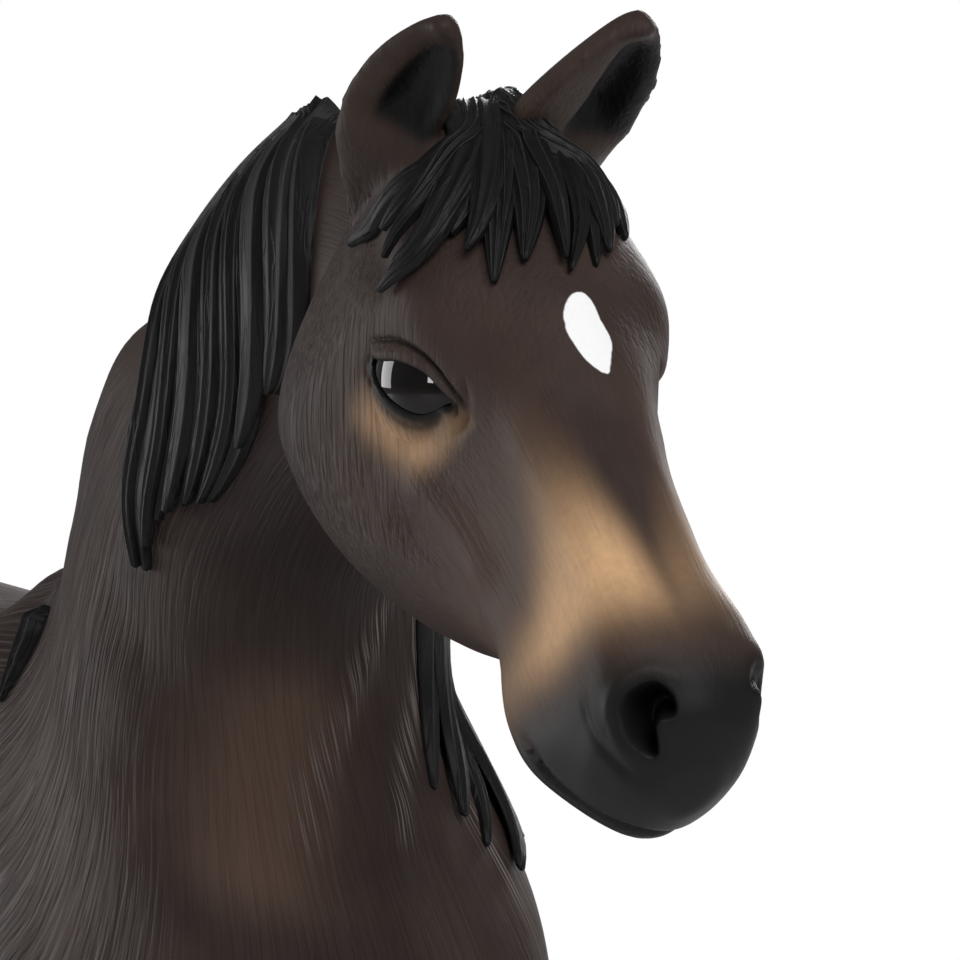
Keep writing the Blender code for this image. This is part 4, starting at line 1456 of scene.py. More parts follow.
@dataclass
class Head:
    """Skull, muzzle and ears, shaped in the head's own frame."""

    length: float = 33.0
    width: float = 11.6
    depth: float = 15.8
    dip: float = math.radians(33.0)
    tilt: float = math.radians(-4.0)
    grain: float = 0.22
    around: int = 128
    along: int = 160
    ear_easing: tuple = ((10, 9.0), (14, 1.4))
    left_pinch: float = 0.14
    reaches: tuple[float, float] = (4.0, 2.7)
    lip_width: float = 0.22
    lip_depth: float = 0.40
    hair_lean: float = math.radians(52.0)
    nose: float = 23.8
    nose_ahead: float = 3.0
    muzzle: tuple[float, float] = (26.7, 30.8)
    muzzle_lean: tuple[float, float] = (0.48, 0.9)
    eyes: tuple[Eye, Eye] = (Eye(centre=(10.02, -2.73, -4.0)), Eye())
    nostrils: tuple[Nostril, Nostril] = (
        Nostril((28.7, -3.4, -3.3), (0.40, -0.88, 0.25), 0.35, 0.04), Nostril())
    ears: tuple[Ear, Ear] = (
        Ear(Side.LEFT, (1.24, 3.22, -0.85), math.radians(14.0), math.radians(8.0), 0.0, 2.4,
            7.9, 4.6, 1.5),
        Ear(Side.RIGHT, (1.29, -3.37, -0.82), math.radians(38.0), 0.0, 1.0, 0.1, 7.4, 3.9),
    )
    stations: tuple = (
        (-0.050, 0.000, 0.32, -0.02, 0.46, -0.21, 0.42, -0.42, -0.480),
        (0.030, 0.062, 0.49, 0.00, 0.72, -0.27, 0.80, -0.58, -0.700),
        (0.120, 0.084, 0.60, 0.02, 0.92, -0.31, 1.05, -0.69, -0.870),
        (0.200, 0.094, 0.70, 0.01, 1.00, -0.27, 1.08, -0.71, -0.960),
        (0.280, 0.090, 0.80, -0.03, 0.92, -0.27, 0.98, -0.72, -0.975),
        (0.350, 0.070, 0.72, -0.07, 0.78, -0.29, 0.85, -0.69, -0.935),
        (0.430, 0.034, 0.50, -0.05, 0.64, -0.31, 0.70, -0.63, -0.850),
        (0.520, -0.006, 0.38, -0.06, 0.54, -0.32, 0.58, -0.55, -0.730),
        (0.620, -0.036, 0.36, -0.08, 0.50, -0.31, 0.55, -0.49, -0.640),
        (0.720, -0.050, 0.39, -0.09, 0.53, -0.30, 0.62, -0.53, -0.640),
        (0.800, -0.048, 0.46, -0.09, 0.59, -0.30, 0.60, -0.52, -0.625),
        (0.855, -0.052, 0.50, -0.11, 0.57, -0.29, 0.50, -0.48, -0.600),
        (0.900, -0.092, 0.45, -0.16, 0.51, -0.29, 0.38, -0.44, -0.532),
        (0.930, -0.155, 0.32, -0.21, 0.37, -0.30, 0.22, -0.40, -0.445),
        (0.945, -0.230, 0.15, -0.25, 0.20, -0.31, 0.12, -0.36, -0.385),
    )
    strokes: tuple[Stroke, ...] = (
        Stroke(((11.5, -6.6), (15.5, -6.4), (19.5, -6.6)), 0.9, 0.35),
        Stroke(((12.0, -8.2), (16.0, -8.0), (19.5, -7.8)), 0.9, -0.28),
        Stroke(((3.0, -3.0), (5.0, -2.2), (8.0, -1.4)), 0.9, -0.30),
        Stroke(((14.5, -1.5), (18.5, -2.0), (23.0, -2.4)), 0.8, 0.16),
    )
    star: tuple = (
        (11.25, 0.43), (11.61, -0.11), (12.25, -0.44), (13.00, -0.54), (13.57, -0.39),
        (14.08, -0.25), (14.46, -0.05), (14.79, 0.22), (14.93, 0.57), (14.25, 0.87),
        (13.38, 1.16), (12.95, 1.10), (12.57, 0.96), (11.98, 0.88), (11.46, 0.74),
    )
    mouth: tuple = (
        (24.6, -7.72), (25.3, -7.64), (26.5, -7.50), (27.8, -7.72), (29.3, -7.86),
        (30.6, -7.75), (32.0, -7.6),
    )

    def shape(self) -> Clay:
        """Model the head with its ears, lids, nostrils and mouth.

        Returns:
            The head, with its paint masks.
        """
        rings = sections(self.stations, self.length, self.width / 2, self.depth, self.around,
                         self.along)
        head = Clay.loft("head_skin", rings)
        head.add(*(ear.form() for ear in self.ears))
        head.melt(self.grain)
        head.relax(3)
        for passes, top in self.ear_easing:
            head.relax(passes, np.any([ear.near(head.places, top) for ear in self.ears], axis=0))
        places = head.places
        places[:, 1] *= 1 - (self.left_pinch * (places[:, 1] > 0)
                             * ramp(places[:, 0], 25.5, 29.5) * ramp(-places[:, 2], 0.5, 4.0))
        head.places = places
        for reach in self.reaches:
            head.refine(self.near_features(head.places, reach))
        masks = np.zeros((4, len(head.places)))
        for side, eye, nostril in zip(Side, self.eyes, self.nostrils):
            flip = np.array((1.0, -side.value, 1.0))
            places, normals = head.places, head.normals
            mine = places[:, 1] * side.value > 0
            moved, *painted = eye.lids(places * flip)
            new = np.where(mine[:, None], moved * flip, places)
            moved, pit_shade = nostril.shape(new * flip, normals * flip)
            head.places = np.where(mine[:, None], moved * flip, new)
            masks = np.maximum(masks, np.array((*painted, pit_shade)) * mine)
        self.part_lips(head)
        head.carve(self.strokes)
        self.paint_masks(head, *masks)
        return head

    def part_lips(self, head: Clay) -> None:
        """Press the line of the mouth into the muzzle.

        Args:
            head: the head.
        """
        places = head.places
        away, share = distance_to_line(places[:, (0, 2)], resample(np.array(self.mouth), 40))
        amount = self.lip_depth * (bell(away, self.lip_width) * ramp(share, 0.0, 0.3))
        head.places = places - head.normals * amount[:, None]

    def near_features(self, places: Array, reach: float) -> Array:
        """Find the points near an eye or a nostril.

        Args:
            places: the points.
            reach: how near.

        Returns:
            Which points are.
        """
        x, y, z = places.T
        right = np.column_stack((x, -np.abs(y), z))
        eye = np.linalg.norm(right - np.array(self.eyes[1].centre), axis=1) < reach + 0.4
        nostril = np.linalg.norm(right - np.array(self.nostrils[1].centre), axis=1) < reach
        return eye | nostril

    def paint_masks(self, head: Clay, black: Array, painted_shade: Array, under_eye: Array,
                    pit_shade: Array) -> None:
        """Keep what the coat needs to know at each point of the head.

        Args:
            head: the head.
            black: how black the lids are painted at each point.
            painted_shade: how much painted shade darkens their creases.
            under_eye: how tan the skin is under the eyes.
            pit_shade: how much painted shade darkens it inside a nostril.
        """
        places, normals = head.places, head.normals
        x, y, z = places.T
        side = np.abs(y)
        behind = 2.0 + 2.4 * ramp(z, -5.5, -1.5)
        nose = bell(x - self.nose, np.where(x < self.nose, behind, self.nose_ahead))
        nose *= ramp(side + 0.25 * (x - 20), 0.4, 2.4) * (1 - 0.72 * ramp(y, -1.6, 1.4))
        lean, level = self.muzzle_lean
        edge = x - lean * (z + level)
        muzzle = ramp(edge, *self.muzzle) ** 1.2
        low = 0.35 + 0.65 * ramp(z, -7.5, -3.5)
        tan = np.maximum(0.5 * under_eye, 0.85 * nose * low * (1 - ramp(edge, 25.4, 29.0)))
        hollow = np.maximum(*(ear.hollow(places, normals) for ear in self.ears))
        star, _ = distance_to_line(places[:, :2], outline(np.array(self.star)[None], 120)[0],
                                   True)
        top = ramp(normals[:, 2], 0.2, 0.5)
        rear = 1 - ramp(x, 9.0, 18.0)
        jowl = ramp(-z, 1.0, 4.0)
        cos, sin = math.cos(self.hair_lean), math.sin(self.hair_lean)
        furrow = (0.24 + 0.60 * rear * jowl) * (1 - 0.85 * muzzle) * (1 - black)
        masks = {
            "star": (0.5 - star / 2.0) * top,
            "tan": tan,
            "black": np.maximum.reduce((muzzle, black, hollow)),
            # Painted shade deep in the nostrils and ear cups.
            "pit_shade": np.maximum(pit_shade, 0.6 * hollow),
            # Painted shadow under the jaw, and painted shade in the eyes' creases.
            "painted_shade": np.maximum(0.45 * bell(z + 13.0, 3.0), painted_shade),
            "warmth": 0.25 * bell(x - 18.5, 4.5) * ramp(side, 0.6, 2.6),
            "furrow": furrow,
            # Painted highlight on the fur crests of the cheeks.
            "painted_highlight": 0.15 * rear * jowl,
            "turn": 1 - rear,
        }
        head.store({name: np.clip(values, 0, 1) for name, values in masks.items()})
        head.store({
            "grain": np.column_stack(((x * cos - z * sin) / 8, x * sin + z * cos, y)),
            "grain_ahead": np.column_stack((x / 8, z, y)),
        })


# ---------------------------------------------------------------- hair


@dataclass(frozen=True)
class Lock:
    """One carved lock: a lens section whose face is scooped between sharp ridges."""

    width: float = 1.8
    height: float = 0.9
    ridges: int = 3
    lift: float = 0.0
    scoop: float = 0.16
    tip: float = 3.0
    root: float = 0.35
    thin: float = 2.2
    face: int = 36
    back: int = 8

    def form(self, name: str, path: Array, normals: Array) -> Clay:
        """Build the lock along a path on its bed.

        Args:
            name: the piece's name.
            path: points on the bed.
            normals: which way the bed faces there.

        Returns:
            The closed lock, with its ridges and strand coordinates kept at its points.
        """
        count = len(path)
        share = np.linspace(0.0, 1.0, count)[:, None]
        run = np.gradient(path, axis=0)
        run /= np.linalg.norm(run, axis=1)[:, None]
        aside = np.cross(normals, run)
        aside /= np.linalg.norm(aside, axis=1)[:, None]
        under = np.linspace(np.pi, 2 * np.pi, self.back + 1)[1:-1]
        angle = np.concatenate((np.linspace(0, np.pi, self.face + 1), under))[None, :]
        taper = (0.55 + 0.45 * ramp(share, 0.0, 0.22)) * (1 - (0.98 * share) ** self.tip) ** 0.7
        half = self.width / 2 * taper * np.cos(angle)
        start = self.root + (1 - self.root) * ramp(share, 0.0, 0.25)
        rise = self.height * (1 - 0.72 * share ** self.thin) * start
        wave = np.abs(np.sin(self.ridges * angle)) * (np.sin(angle) > 0)
        high = rise * np.sign(np.sin(angle)) * np.abs(np.sin(angle)) ** 0.75
        high = np.where(np.sin(angle) < 0, high * 0.35, high - self.scoop * taper * wave)
        places = (path[:, None] + aside[:, None] * half[..., None]
                  + normals[:, None] * (high + self.lift * start)[..., None])
        lock = Clay.loft(name, places, dome=0.2)
        ridge = np.repeat((1 - wave) ** 3 * (np.sin(angle) > -0.01), count, axis=0)
        length = np.concatenate(([0], np.cumsum(np.linalg.norm(np.diff(path, axis=0), axis=1))))
        along = np.repeat(length[:, None], angle.shape[1], axis=1)
        strand = np.stack((along / 9 + self.width * 3.7, half * np.ones_like(along),
                           high * 0.5 + self.lift), axis=2)
        flat = places.reshape(-1, 3)
        tree = KDTree(len(flat))
        for number, place in enumerate(flat):
            tree.insert(place, number)
        tree.balance()
        index = np.array([tree.find(v)[1] for v in lock.places])
        lock.store({"ridge": ridge.reshape(-1)[index], "strand": strand.reshape(-1, 3)[index]})
        return lock


def between_guides(guides: tuple, count: int, between: int) -> list[Array]:
    """Draw more lines between guide lines.

    Args:
        guides: lines, each given by its corners.
        count: points on each line.
        between: steps from one guide to the next.

    Returns:
        The lines.
    """
    lines = [resample(np.array(guide), count) for guide in guides]
    drawn = []
    for place in np.linspace(0, len(lines) - 1, (len(lines) - 1) * between + 1):
        low = min(int(place), len(lines) - 2)
        drawn.append(lines[low] * (1 - place + low) + lines[low + 1] * (place - low))
    return drawn


@dataclass
class Mane:
    """Locks that fall from the crest, along guides given in the sculptor's frame."""

    name: str
    guides: tuple
    node: str
    strays: tuple = ()
    between: int = 2
    width: float = 1.9
    height: float = 0.95
    root: float = 0.35
    thin: float = 2.2
    stray_width: float = 1.2
    corners: int = 16
    points: int = 44

    def shape(self, bed: BVHTree) -> Clay:
        """Model all the locks as one piece.

        Args:
            bed: search tree of the skin that they lie on.

        Returns:
            The fall.
        """
        drawn = between_guides(self.guides, self.corners, self.between)
        drawn += [resample(np.array(stray), self.corners) for stray in self.strays]
        locks = []
        for number, line in enumerate(drawn):
            upper = number % 2
            stray = number >= len(drawn) - len(self.strays)
            path, normals = bed_path(bed, resample(line, self.points))
            width = self.width * (1.0 + 0.18 * math.sin(number * 2.3))
            width = self.stray_width if stray else width
            lock = Lock(width, self.height - 0.1 * upper, 3 + number % 3, 0.32 * upper,
                        root=self.root, thin=self.thin)
            locks.append(lock.form(self.name, path, normals))
        locks[0].add(*locks[1:])
        return locks[0]


@dataclass
class Forelock:
    """Locks that fan from the poll over the forehead, given in the head's frame."""

    name: str = "forelock_hair"
    between: int = 2
    corners: int = 16
    points: int = 38
    sway: float = 0.45
    fans: tuple = (
        ((-0.3, -0.3, 0.5), (2.7, -2.5, 1.1), (3.7, -3.8, -0.2), (3.5, -4.5, -2.0),
         (2.6, -4.6, -3.7)),
        ((-0.6, 0.0, 0.4), (3.6, -2.0, 1.1), (5.9, -3.8, 0.3), (6.6, -4.8, -1.0),
         (6.7, -5.4, -2.5)),
        ((-0.6, 0.2, 0.9), (4.0, -1.7, 1.2), (6.7, -3.2, 0.8), (8.1, -4.3, -0.1),
         (7.9, -5.2, -1.6)),
        ((-0.6, 0.3, 0.9), (3.8, -1.2, 1.3), (6.3, -2.2, 1.2), (7.8, -3.2, 0.7),
         (8.3, -4.2, 0.0)),
        ((-0.9, 0.5, 0.9), (3.8, -0.8, 1.3), (7.6, -1.8, 1.2), (10.3, -2.6, 0.6)),
        ((-1.3, 0.8, 0.9), (3.8, -0.2, 1.3), (8.0, -1.0, 1.4), (11.1, -1.9, 0.7)),
        ((-1.5, 0.8, 0.9), (3.0, 0.6, 1.3), (6.6, 0.4, 1.5), (10.0, -0.3, 1.3)),
        ((-1.6, 0.8, 0.9), (2.2, 1.2, 1.4), (4.9, 2.3, 1.2), (7.8, 2.2, 1.1),
         (10.7, 1.6, 0.9)),
        ((-1.6, 0.8, 0.9), (1.5, 1.0, 1.0), (4.5, 1.7, 1.3), (7.9, 1.4, 1.3),
         (10.4, 0.5, 1.2)),
        ((-1.6, 0.8, 0.9), (2.3, 1.5, 1.6), (5.2, 3.4, 0.4), (7.6, 3.5, 0.5),
         (9.2, 3.3, 0.5)),
    )

    def shape(self, bed: BVHTree) -> Clay:
        """Model all the locks as one piece.

        Args:
            bed: search tree of the head.

        Returns:
            The tuft.
        """
        locks = []
        sway = self.sway * np.linspace(0, 1, self.corners) ** 2
        for number, line in enumerate(between_guides(self.fans, self.corners, self.between)):
            reach = self.corners - (number * 7) % 4
            line[:, 1] += math.sin(number * 2.7) * sway
            path, normals = bed_path(bed, resample(line[:reach], self.points))
            lock = Lock(1.75 + 0.45 * math.sin(number * 1.9), 0.80, 4 + number % 3,
                        0.05 + 0.34 * (number * 2 % 5) / 4, 0.12, 2.2)
            locks.append(lock.form(self.name, path, normals))
        locks[0].add(*locks[1:])
        return locks[0]


@dataclass
class Tail:
    """Hanging tail hair around a core."""

    length: float = 50.0
    width: float = 7.8
    sweep: float = 9.5
    root: tuple[float, float] = (0.045, 0.77)
    stations: tuple = (
        (-0.02, -0.10, 0.36), (0.03, 0.36, 0.46), (0.12, 0.68, 0.68), (0.28, 0.90, 0.92),
        (0.48, 1.00, 1.00), (0.68, 0.98, 0.88), (0.85, 0.90, 0.60), (0.95, 0.84, 0.32),
        (1.00, 0.80, 0.10),
    )
    locks: int = 15
    core_share: float = 0.88
    around: int = 48
    along: int = 60
    points: int = 44

    def core(self, trunk: Trunk) -> Array:
        """Draw the rings of the tail's core.

        Args:
            trunk: the trunk that it hangs from.

        Returns:
            The rings.
        """
        rows = spread(np.array(self.stations), self.along)
        root = trunk.point(*self.root)
        middle = np.column_stack((root[0] - rows[:, 1] * self.sweep,
                                  root[2] - rows[:, 0] * self.length))
        run = np.gradient(middle, axis=0)
        run /= np.linalg.norm(run, axis=1)[:, None]
        angle = ring(self.around)
        radius = rows[:, 2:] * self.width / 2 * self.core_share
        across = radius * np.cos(angle)
        x = middle[:, :1] + across * run[:, 1:]
        z = middle[:, 1:] - across * run[:, :1]
        return np.stack((x, radius * np.sin(angle), z), axis=2)

    def shape(self, trunk: Trunk) -> Clay:
        """Model the tail.

        Args:
            trunk: the trunk that it hangs from.

        Returns:
            The tail.
        """
        rings = self.core(trunk)
        core = Clay.loft("tail_hair", rings)
        bed = core.tree()
        core.store({"ridge": np.zeros(len(core.places)), "strand": core.places / 9})
        locks = []
        for number in range(self.locks):
            column = number * self.around // self.locks
            turn = 3 if number % 2 else -2
            rows = range(2, self.along - 2 - 5 * (number % 3), 3)
            picked = [rings[row, (column + int(turn * row / self.along)) % self.around]
                      for row in rows]
            path, normals = bed_path(bed, resample(np.array(picked), self.points))
            lock = Lock(2.1, 0.8, 2 + number % 3, -0.15 + 0.25 * (number % 2))
            locks.append(lock.form("tail_lock", path, normals))
        core.add(*locks)
        return core


# ---------------------------------------------------------------- body


@dataclass
class Body:
    """Trunk, neck and legs shaped as one skin and parted at the moulded seams.

    Points below "sole" are set on the ground. Fore and hind legs part at "gap", and no leg
    stands nearer to the middle than "belly". Each leg is black from the lower height of
    "legs_black" down, and the coat's colour from the upper one up.
    """

    trunk: Trunk
    neck: Neck
    legs: tuple[Leg, ...]
    grain: float = 0.40
    sole: float = 0.35
    gap: float = -4.0
    belly: float = 8.0
    margin: float = 1e-4
    legs_black: tuple[float, float] = (24.0, 38.0)
    strokes: tuple[Stroke, ...] = (
        Stroke(((14.0, 78.0), (20.0, 70.0), (27.0, 62.0), (32.0, 56.0)), 2.4, 0.45),
        Stroke(((10.0, 76.0), (14.0, 66.0), (20.0, 57.0)), 2.2, -0.45),
        Stroke(((24.0, 55.0), (17.0, 53.0), (12.0, 56.0)), 1.8, -0.50),
        Stroke(((31.0, 66.0), (33.0, 60.0), (31.0, 54.0)), 2.0, 0.40),
        Stroke(((22.0, 84.0), (29.0, 78.0), (35.0, 72.0), (39.0, 65.0)), 1.3, -0.50),
        Stroke(((24.0, 88.0), (31.0, 82.0), (36.5, 75.0)), 1.6, 0.30),
        Stroke(((-14.0, 55.0), (-12.0, 61.0), (-15.0, 68.0)), 2.4, -0.55),
        Stroke(((-22.0, 70.0), (-24.0, 60.0), (-22.0, 52.0)), 3.0, 0.35),
        Stroke(((-33.0, 72.0), (-36.0, 60.0), (-34.0, 50.0)), 1.7, -0.40),
        Stroke(((-28.0, 48.0), (-31.0, 40.0), (-37.0, 33.0)), 1.2, 0.30),
        Stroke(((0.0, 74.0), (-2.0, 62.0), (0.0, 50.0)), 5.0, 0.25),
        Stroke(((0.0, 74.0), (0.0, 64.0)), 1.6, -0.60, Facing.FRONT, (1,)),
        Stroke(((0.0, 64.0), (0.0, 52.0)), 1.4, -0.70, Facing.FRONT, (1,)),
        Stroke(((5.5, 66.0), (5.0, 58.0), (4.5, 52.0)), 2.6, 0.45, Facing.FRONT),
        Stroke(((0.9, 81.5), (0.0, 79.0), (-1.3, 77.0), (-2.6, 74.0), (-3.6, 71.0)), 0.5, 0.30,
               Facing.FRONT, (1,)),
        Stroke(((11.5, 0.0), (16.0, 0.0), (19.5, 0.0), (22.5, 0.0)), 2.8, 1.5, Facing.TOP, (1,)),
    )
    # Lines of painted highlight down the throat, where light catches the fur.
    painted_highlight_lines: tuple = (
        ((1.0, 82.5), (0.4, 79.8), (-0.4, 78.5), (-1.0, 77.4), (-2.0, 76.1), (-2.8, 74.9),
         (-4.1, 71.5)),
        ((2.8, 82.0), (3.0, 78.9), (2.8, 77.4), (2.0, 75.9), (1.1, 74.5), (0.6, 71.5)),
        ((4.6, 76.5), (4.6, 74.5), (5.6, 71.5), (6.4, 68.0), (6.6, 65.5)),
    )
    # A warm painted highlight runs down this line of the windpipe ridge.
    windpipe_highlight: tuple = ((-2.7, 80.4), (-3.3, 77.2), (-4.3, 74.9), (-5.5, 72.4), (-6.6, 69.0))

    def seam(self) -> tuple[Vector, Vector]:
        """Find the seam between trunk and neck.

        Returns:
            Its middle, and the way from trunk to neck.
        """
        origin = Vector(self.neck.withers)
        crest, throat = (origin + Vector((forward * self.neck.reach, 0.0, up * self.neck.rise))
                         for forward, up in self.neck.seam)
        down = (throat - crest).normalized()
        return (crest + throat) / 2, Vector((-down.z, 0.0, down.x))

    def shape(self) -> dict[str, Clay]:
        """Model the skin and part it.

        Returns:
            The pieces by node name, and the whole skin as "skin".
        """
        skin = self.trunk.form()
        skin.add(self.neck.form(), *(leg.form(self.trunk) for leg in self.legs))
        skin.melt(self.grain)
        skin.relax(5)
        skin.carve(self.strokes)
        self.flat_soles(skin)
        self.paint_masks(skin)
        return self.part(skin)

    def flat_soles(self, skin: Clay) -> None:
        """Set the soles on the ground.

        Args:
            skin: the whole skin.
        """
        places = skin.places
        places[places[:, 2] < self.sole, 2] = 0.0
        skin.places = places

    def part(self, skin: Clay) -> dict[str, Clay]:
        """Part the skin at its seams, each piece closed again.

        Args:
            skin: the whole skin.

        Returns:
            The pieces by node name, and the whole skin as "skin".
        """
        point, forward = self.seam()
        pieces = {}
        jobs = {"neck": None, "trunk": None} | {leg.name: leg for leg in self.legs}
        for name, leg in jobs.items():
            piece = Clay(name + "_skin", skin.item.data.copy())
            with piece.worked() as bm:
                if leg is not None:
                    self.cut(bm, (0, 0, leg.seam), (0, 0, 1))
                    self.cut(bm, (0, 0, 0), (0, -leg.side.value, 0))
                    self.cut(bm, (self.gap, 0, 0), (1 if leg.hind else -1, 0, 0))
                elif name == "neck":
                    self.cut(bm, point, -forward)
                else:
                    self.cut(bm, point, forward)
                    for each in self.legs:
                        self.drop_leg(bm, each)
            piece.face_outwards()
            pieces[name] = piece
        pieces["skin"] = skin
        return pieces

    @staticmethod
    def cut(bm: bmesh.types.BMesh, point: Vector | tuple, away: Vector | tuple,
            keep: bool = False) -> None:
        """Cut the skin along a plane, and close what the cut opens.

        Args:
            bm: the skin.
            point: a place on the plane.
            away: the way to its far side.
            keep: whether the far side stays.
        """
        whole = [*bm.verts, *bm.edges, *bm.faces]
        bmesh.ops.bisect_plane(bm, geom=whole, plane_co=point, plane_no=away,
                               clear_outer=not keep)
        close_up(bm)

    def drop_leg(self, bm: bmesh.types.BMesh, leg: Leg) -> None:
        """Take one leg off the trunk at its seam, and close the cut.

        Args:
            bm: the trunk's skin.
            leg: the leg.
        """
        self.cut(bm, (0, 0, leg.seam), (0, 0, 1), True)
        gone = []
        for face in bm.faces:
            middle = face.calc_center_median()
            mine = middle.y * leg.side.value > 0 and (middle.x < 0) == leg.hind
            if mine and abs(middle.x) > self.belly and middle.z < leg.seam - self.margin:
                gone.append(face)
        bmesh.ops.delete(bm, geom=gone, context="FACES")
        close_up(bm)

    def paint_masks(self, skin: Clay) -> None:
        """Keep what the coat needs to know at each point of the body.

        Args:
            skin: the whole skin.
        """
        places, normals = skin.places, skin.normals
        x, y, z = places.T
        seen = places[:, 1:]
        front = ramp(normals[:, 0], 0.2, 0.7) * ramp(x, 22.0, 28.0)
        painted_highlight = np.max([bell(away, 0.50) * ends
                      for away, ends in (crease(seen, line) for line in self.painted_highlight_lines)], axis=0)
        away, ends = crease(seen, self.windpipe_highlight, 0.25)
        lower = 1 - ramp(z, *self.legs_black)
        along, around, past = self.neck.chart(places)
        fore, low = (x > 8.0) & (z > 45.0), z < 42.0
        shoulder = np.where(z > 45.0, ramp(np.abs(x - 8.0), 0.0, 4.0), 1.0)
        on_neck = (fore & (past > 0)).astype(float)
        fade = np.where(fore, ramp(np.abs(past), 0.0, 1.5), 1.0) * ramp(np.abs(z - 42), 0.0, 2.0)
        fade *= shoulder * (1 - 0.9 * ramp(z, 87.0, 91.0))
        flank = ramp(np.abs(around), 1.0, 1.7) * on_neck
        edge = flank * (1 - ramp(z, 87.0, 90.0)) * ramp(x, 10.0, 17.0)
        masks = {
            "star": np.zeros(len(x)),
            "pit_shade": np.zeros(len(x)),
            "tan": (0.35 * bell(z - 47.0, 5.0) * bell(x + 18, 12.0)
                    + 0.25 * bell(x + 38, 6.0) * bell(z - 58, 9.0)),
            "black": lower,
            # A warm painted highlight along the windpipe ridge, on skin that faces forward.
            "warmth": 0.95 * bell(away, 2.3) * ends * front,
            # Painted shade at the throat under the jaw, and darker on skin that faces down.
            "painted_shade": (0.60 * bell(x - 31.0, 6.0) * bell(z - 84.0, 6.0)
                     + 0.35 * ramp(-normals[:, 2], 0.1, 0.9)),
            "furrow": (0.6 + 0.4 * flank - 0.3 * low) * fade,
            # Painted highlight on the throat's lines and along the neck's flank edge.
            "painted_highlight": np.maximum(painted_highlight * front, 0.30 * edge),
        }
        skin.store({name: np.clip(values, 0, 1) for name, values in masks.items()})
        grain = np.where(low, (z / 8, x, y), (x / 8, np.arctan2(y, z - 62) * 12, 0 * x))
        grain = np.where(on_neck > 0, (along / 8, around * 9, 0 * x), grain)
        skin.store({"grain": grain.T})


# ---------------------------------------------------------------- studio


@dataclass(frozen=True)
class Lamp:
    """One soft square lamp."""

    name: str
    place: tuple[float, float, float]
    size: float
    power: float

    def hang(self, aim: Vector) -> None:
        """Hang the lamp, turned towards what it lights.

        Args:
            aim: the place it is turned to.
        """
        data = bpy.data.lights.new(self.name, "AREA")
        data.energy = self.power
        data.size = self.size
        item = bpy.data.objects.new(self.name, data)
        spot = Vector(self.place)
        turn = (spot - aim).to_track_quat("Z", "Y").to_matrix().to_4x4()
        item.matrix_world = Matrix.Translation(spot) @ turn
        bpy.context.scene.collection.objects.link(item)


@dataclass(frozen=True)
class Studio:
    """Camera at the photograph's angle, a pale floor and soft lamps.

    The lamp at the right rim and the eye lamp are also what the right eye reflects.
    """

    azimuth: float = math.radians(50.0)
    elevation: float = math.radians(7.0)
    distance: float = 0.26
    lens: float = 264.5
    sensor: float = 36.0
    pixels: int = 960
    clip: float = 0.005
    across: float = -4.46
    up: float = 353.17
    aim: tuple[float, float, float] = (0.03, 0.0, 0.085)
    lamps: tuple[Lamp, ...] = (
        Lamp("front_lamp", (0.42, -0.06, 0.50), 0.42, 2.5),
        Lamp("eye_lamp", (0.057, -0.508, 0.128), 0.06, 0.20),
        Lamp("left_rim_lamp", (-0.22, 0.36, 0.20), 0.16, 1.4),
        Lamp("right_rim_lamp", (-0.38, -0.20, 0.12), 0.18, 0.6),
    )
    air: tuple = (0.20, 0.20, 0.205, 1.0)
    white: tuple = (1.0, 1.0, 1.0, 1.0)
    floor_radius: float = 2.0
    floor_fade: tuple[float, float] = (0.10, 0.24)
    floor_colours: tuple[str, str] = ("eeeeee", "f2f2f2")

    def camera(self, poll: Vector) -> None:
        """Set the camera so that the poll falls where the photograph shows it.

        Args:
            poll: place of the poll.
        """
        way = Vector((math.sin(self.azimuth) * math.cos(self.elevation),
                      -math.cos(self.azimuth) * math.cos(self.elevation),
                      math.sin(self.elevation)))
        right = Vector((math.cos(self.azimuth), math.sin(self.azimuth), 0.0))
        top = way.cross(right)
        pixel = self.distance / (self.lens / self.sensor * self.pixels)
        target = poll - right * self.across * pixel - top * self.up * pixel
        data = bpy.data.cameras.new("camera")
        data.lens = self.lens
        data.sensor_width = self.sensor
        data.clip_start = self.clip
        item = bpy.data.objects.new("camera", data)
        item.matrix_world = (Matrix.Translation(target + way * self.distance)
                             @ Matrix((right, top, way)).transposed().to_4x4())
        bpy.context.scene.collection.objects.link(item)
        bpy.context.scene.camera = item

    def light(self) -> None:
        """Light the figure: soft from the front and above, and crisp from behind."""
        for lamp in self.lamps:
            lamp.hang(Vector(self.aim))
        world = bpy.data.worlds.new("studio")
        world.use_nodes = True
        bpy.context.scene.world = world
        sky = Nodes(world.node_tree)
        plain = sky.tree.nodes["Background"]
        sky.feed(plain, {"Color": self.air})
        bright = sky.node("ShaderNodeBackground", {}, {"Color": self.white})
        path = sky.node("ShaderNodeLightPath", {}, {})
        seen = path["Is Camera Ray"].most(path["Is Transmission Ray"])
        sky.blend(seen, Made(sky, plain)[0], bright[0], "World Output")

    def floor(self) -> None:
        """Lay a pale floor that fades to white away from the figure."""
        bm = bmesh.new()
        bmesh.ops.create_circle(bm, cap_ends=True, segments=96, radius=self.floor_radius)
        item = bpy.data.objects.new("floor", mesh_of(bm, "floor"))
        bpy.context.scene.collection.objects.link(item)
        paint = Paint("pale_floor")
        away = paint.node("ShaderNodeVectorMath", {"operation": "LENGTH"}, {0: paint.place()})
        seen = paint.node("ShaderNodeLightPath", {}, {})["Is Camera Ray"]
        cloud = paint.noise(paint.place(), 30.0, 2.0)
        colour = paint.mix(cloud, *(rgb(code) for code in self.floor_colours))
        item.data.materials.append(paint.surface(Base_Color=colour, Roughness=0.7))
        glow = paint.node("ShaderNodeEmission", {}, {"Color": self.white, "Strength": 1.0})
        paint.blend(away["Value"].step(*self.floor_fade) * seen, Made(paint, paint.shader)[0],
                    glow[0], "Material Output")


# ---------------------------------------------------------------- building


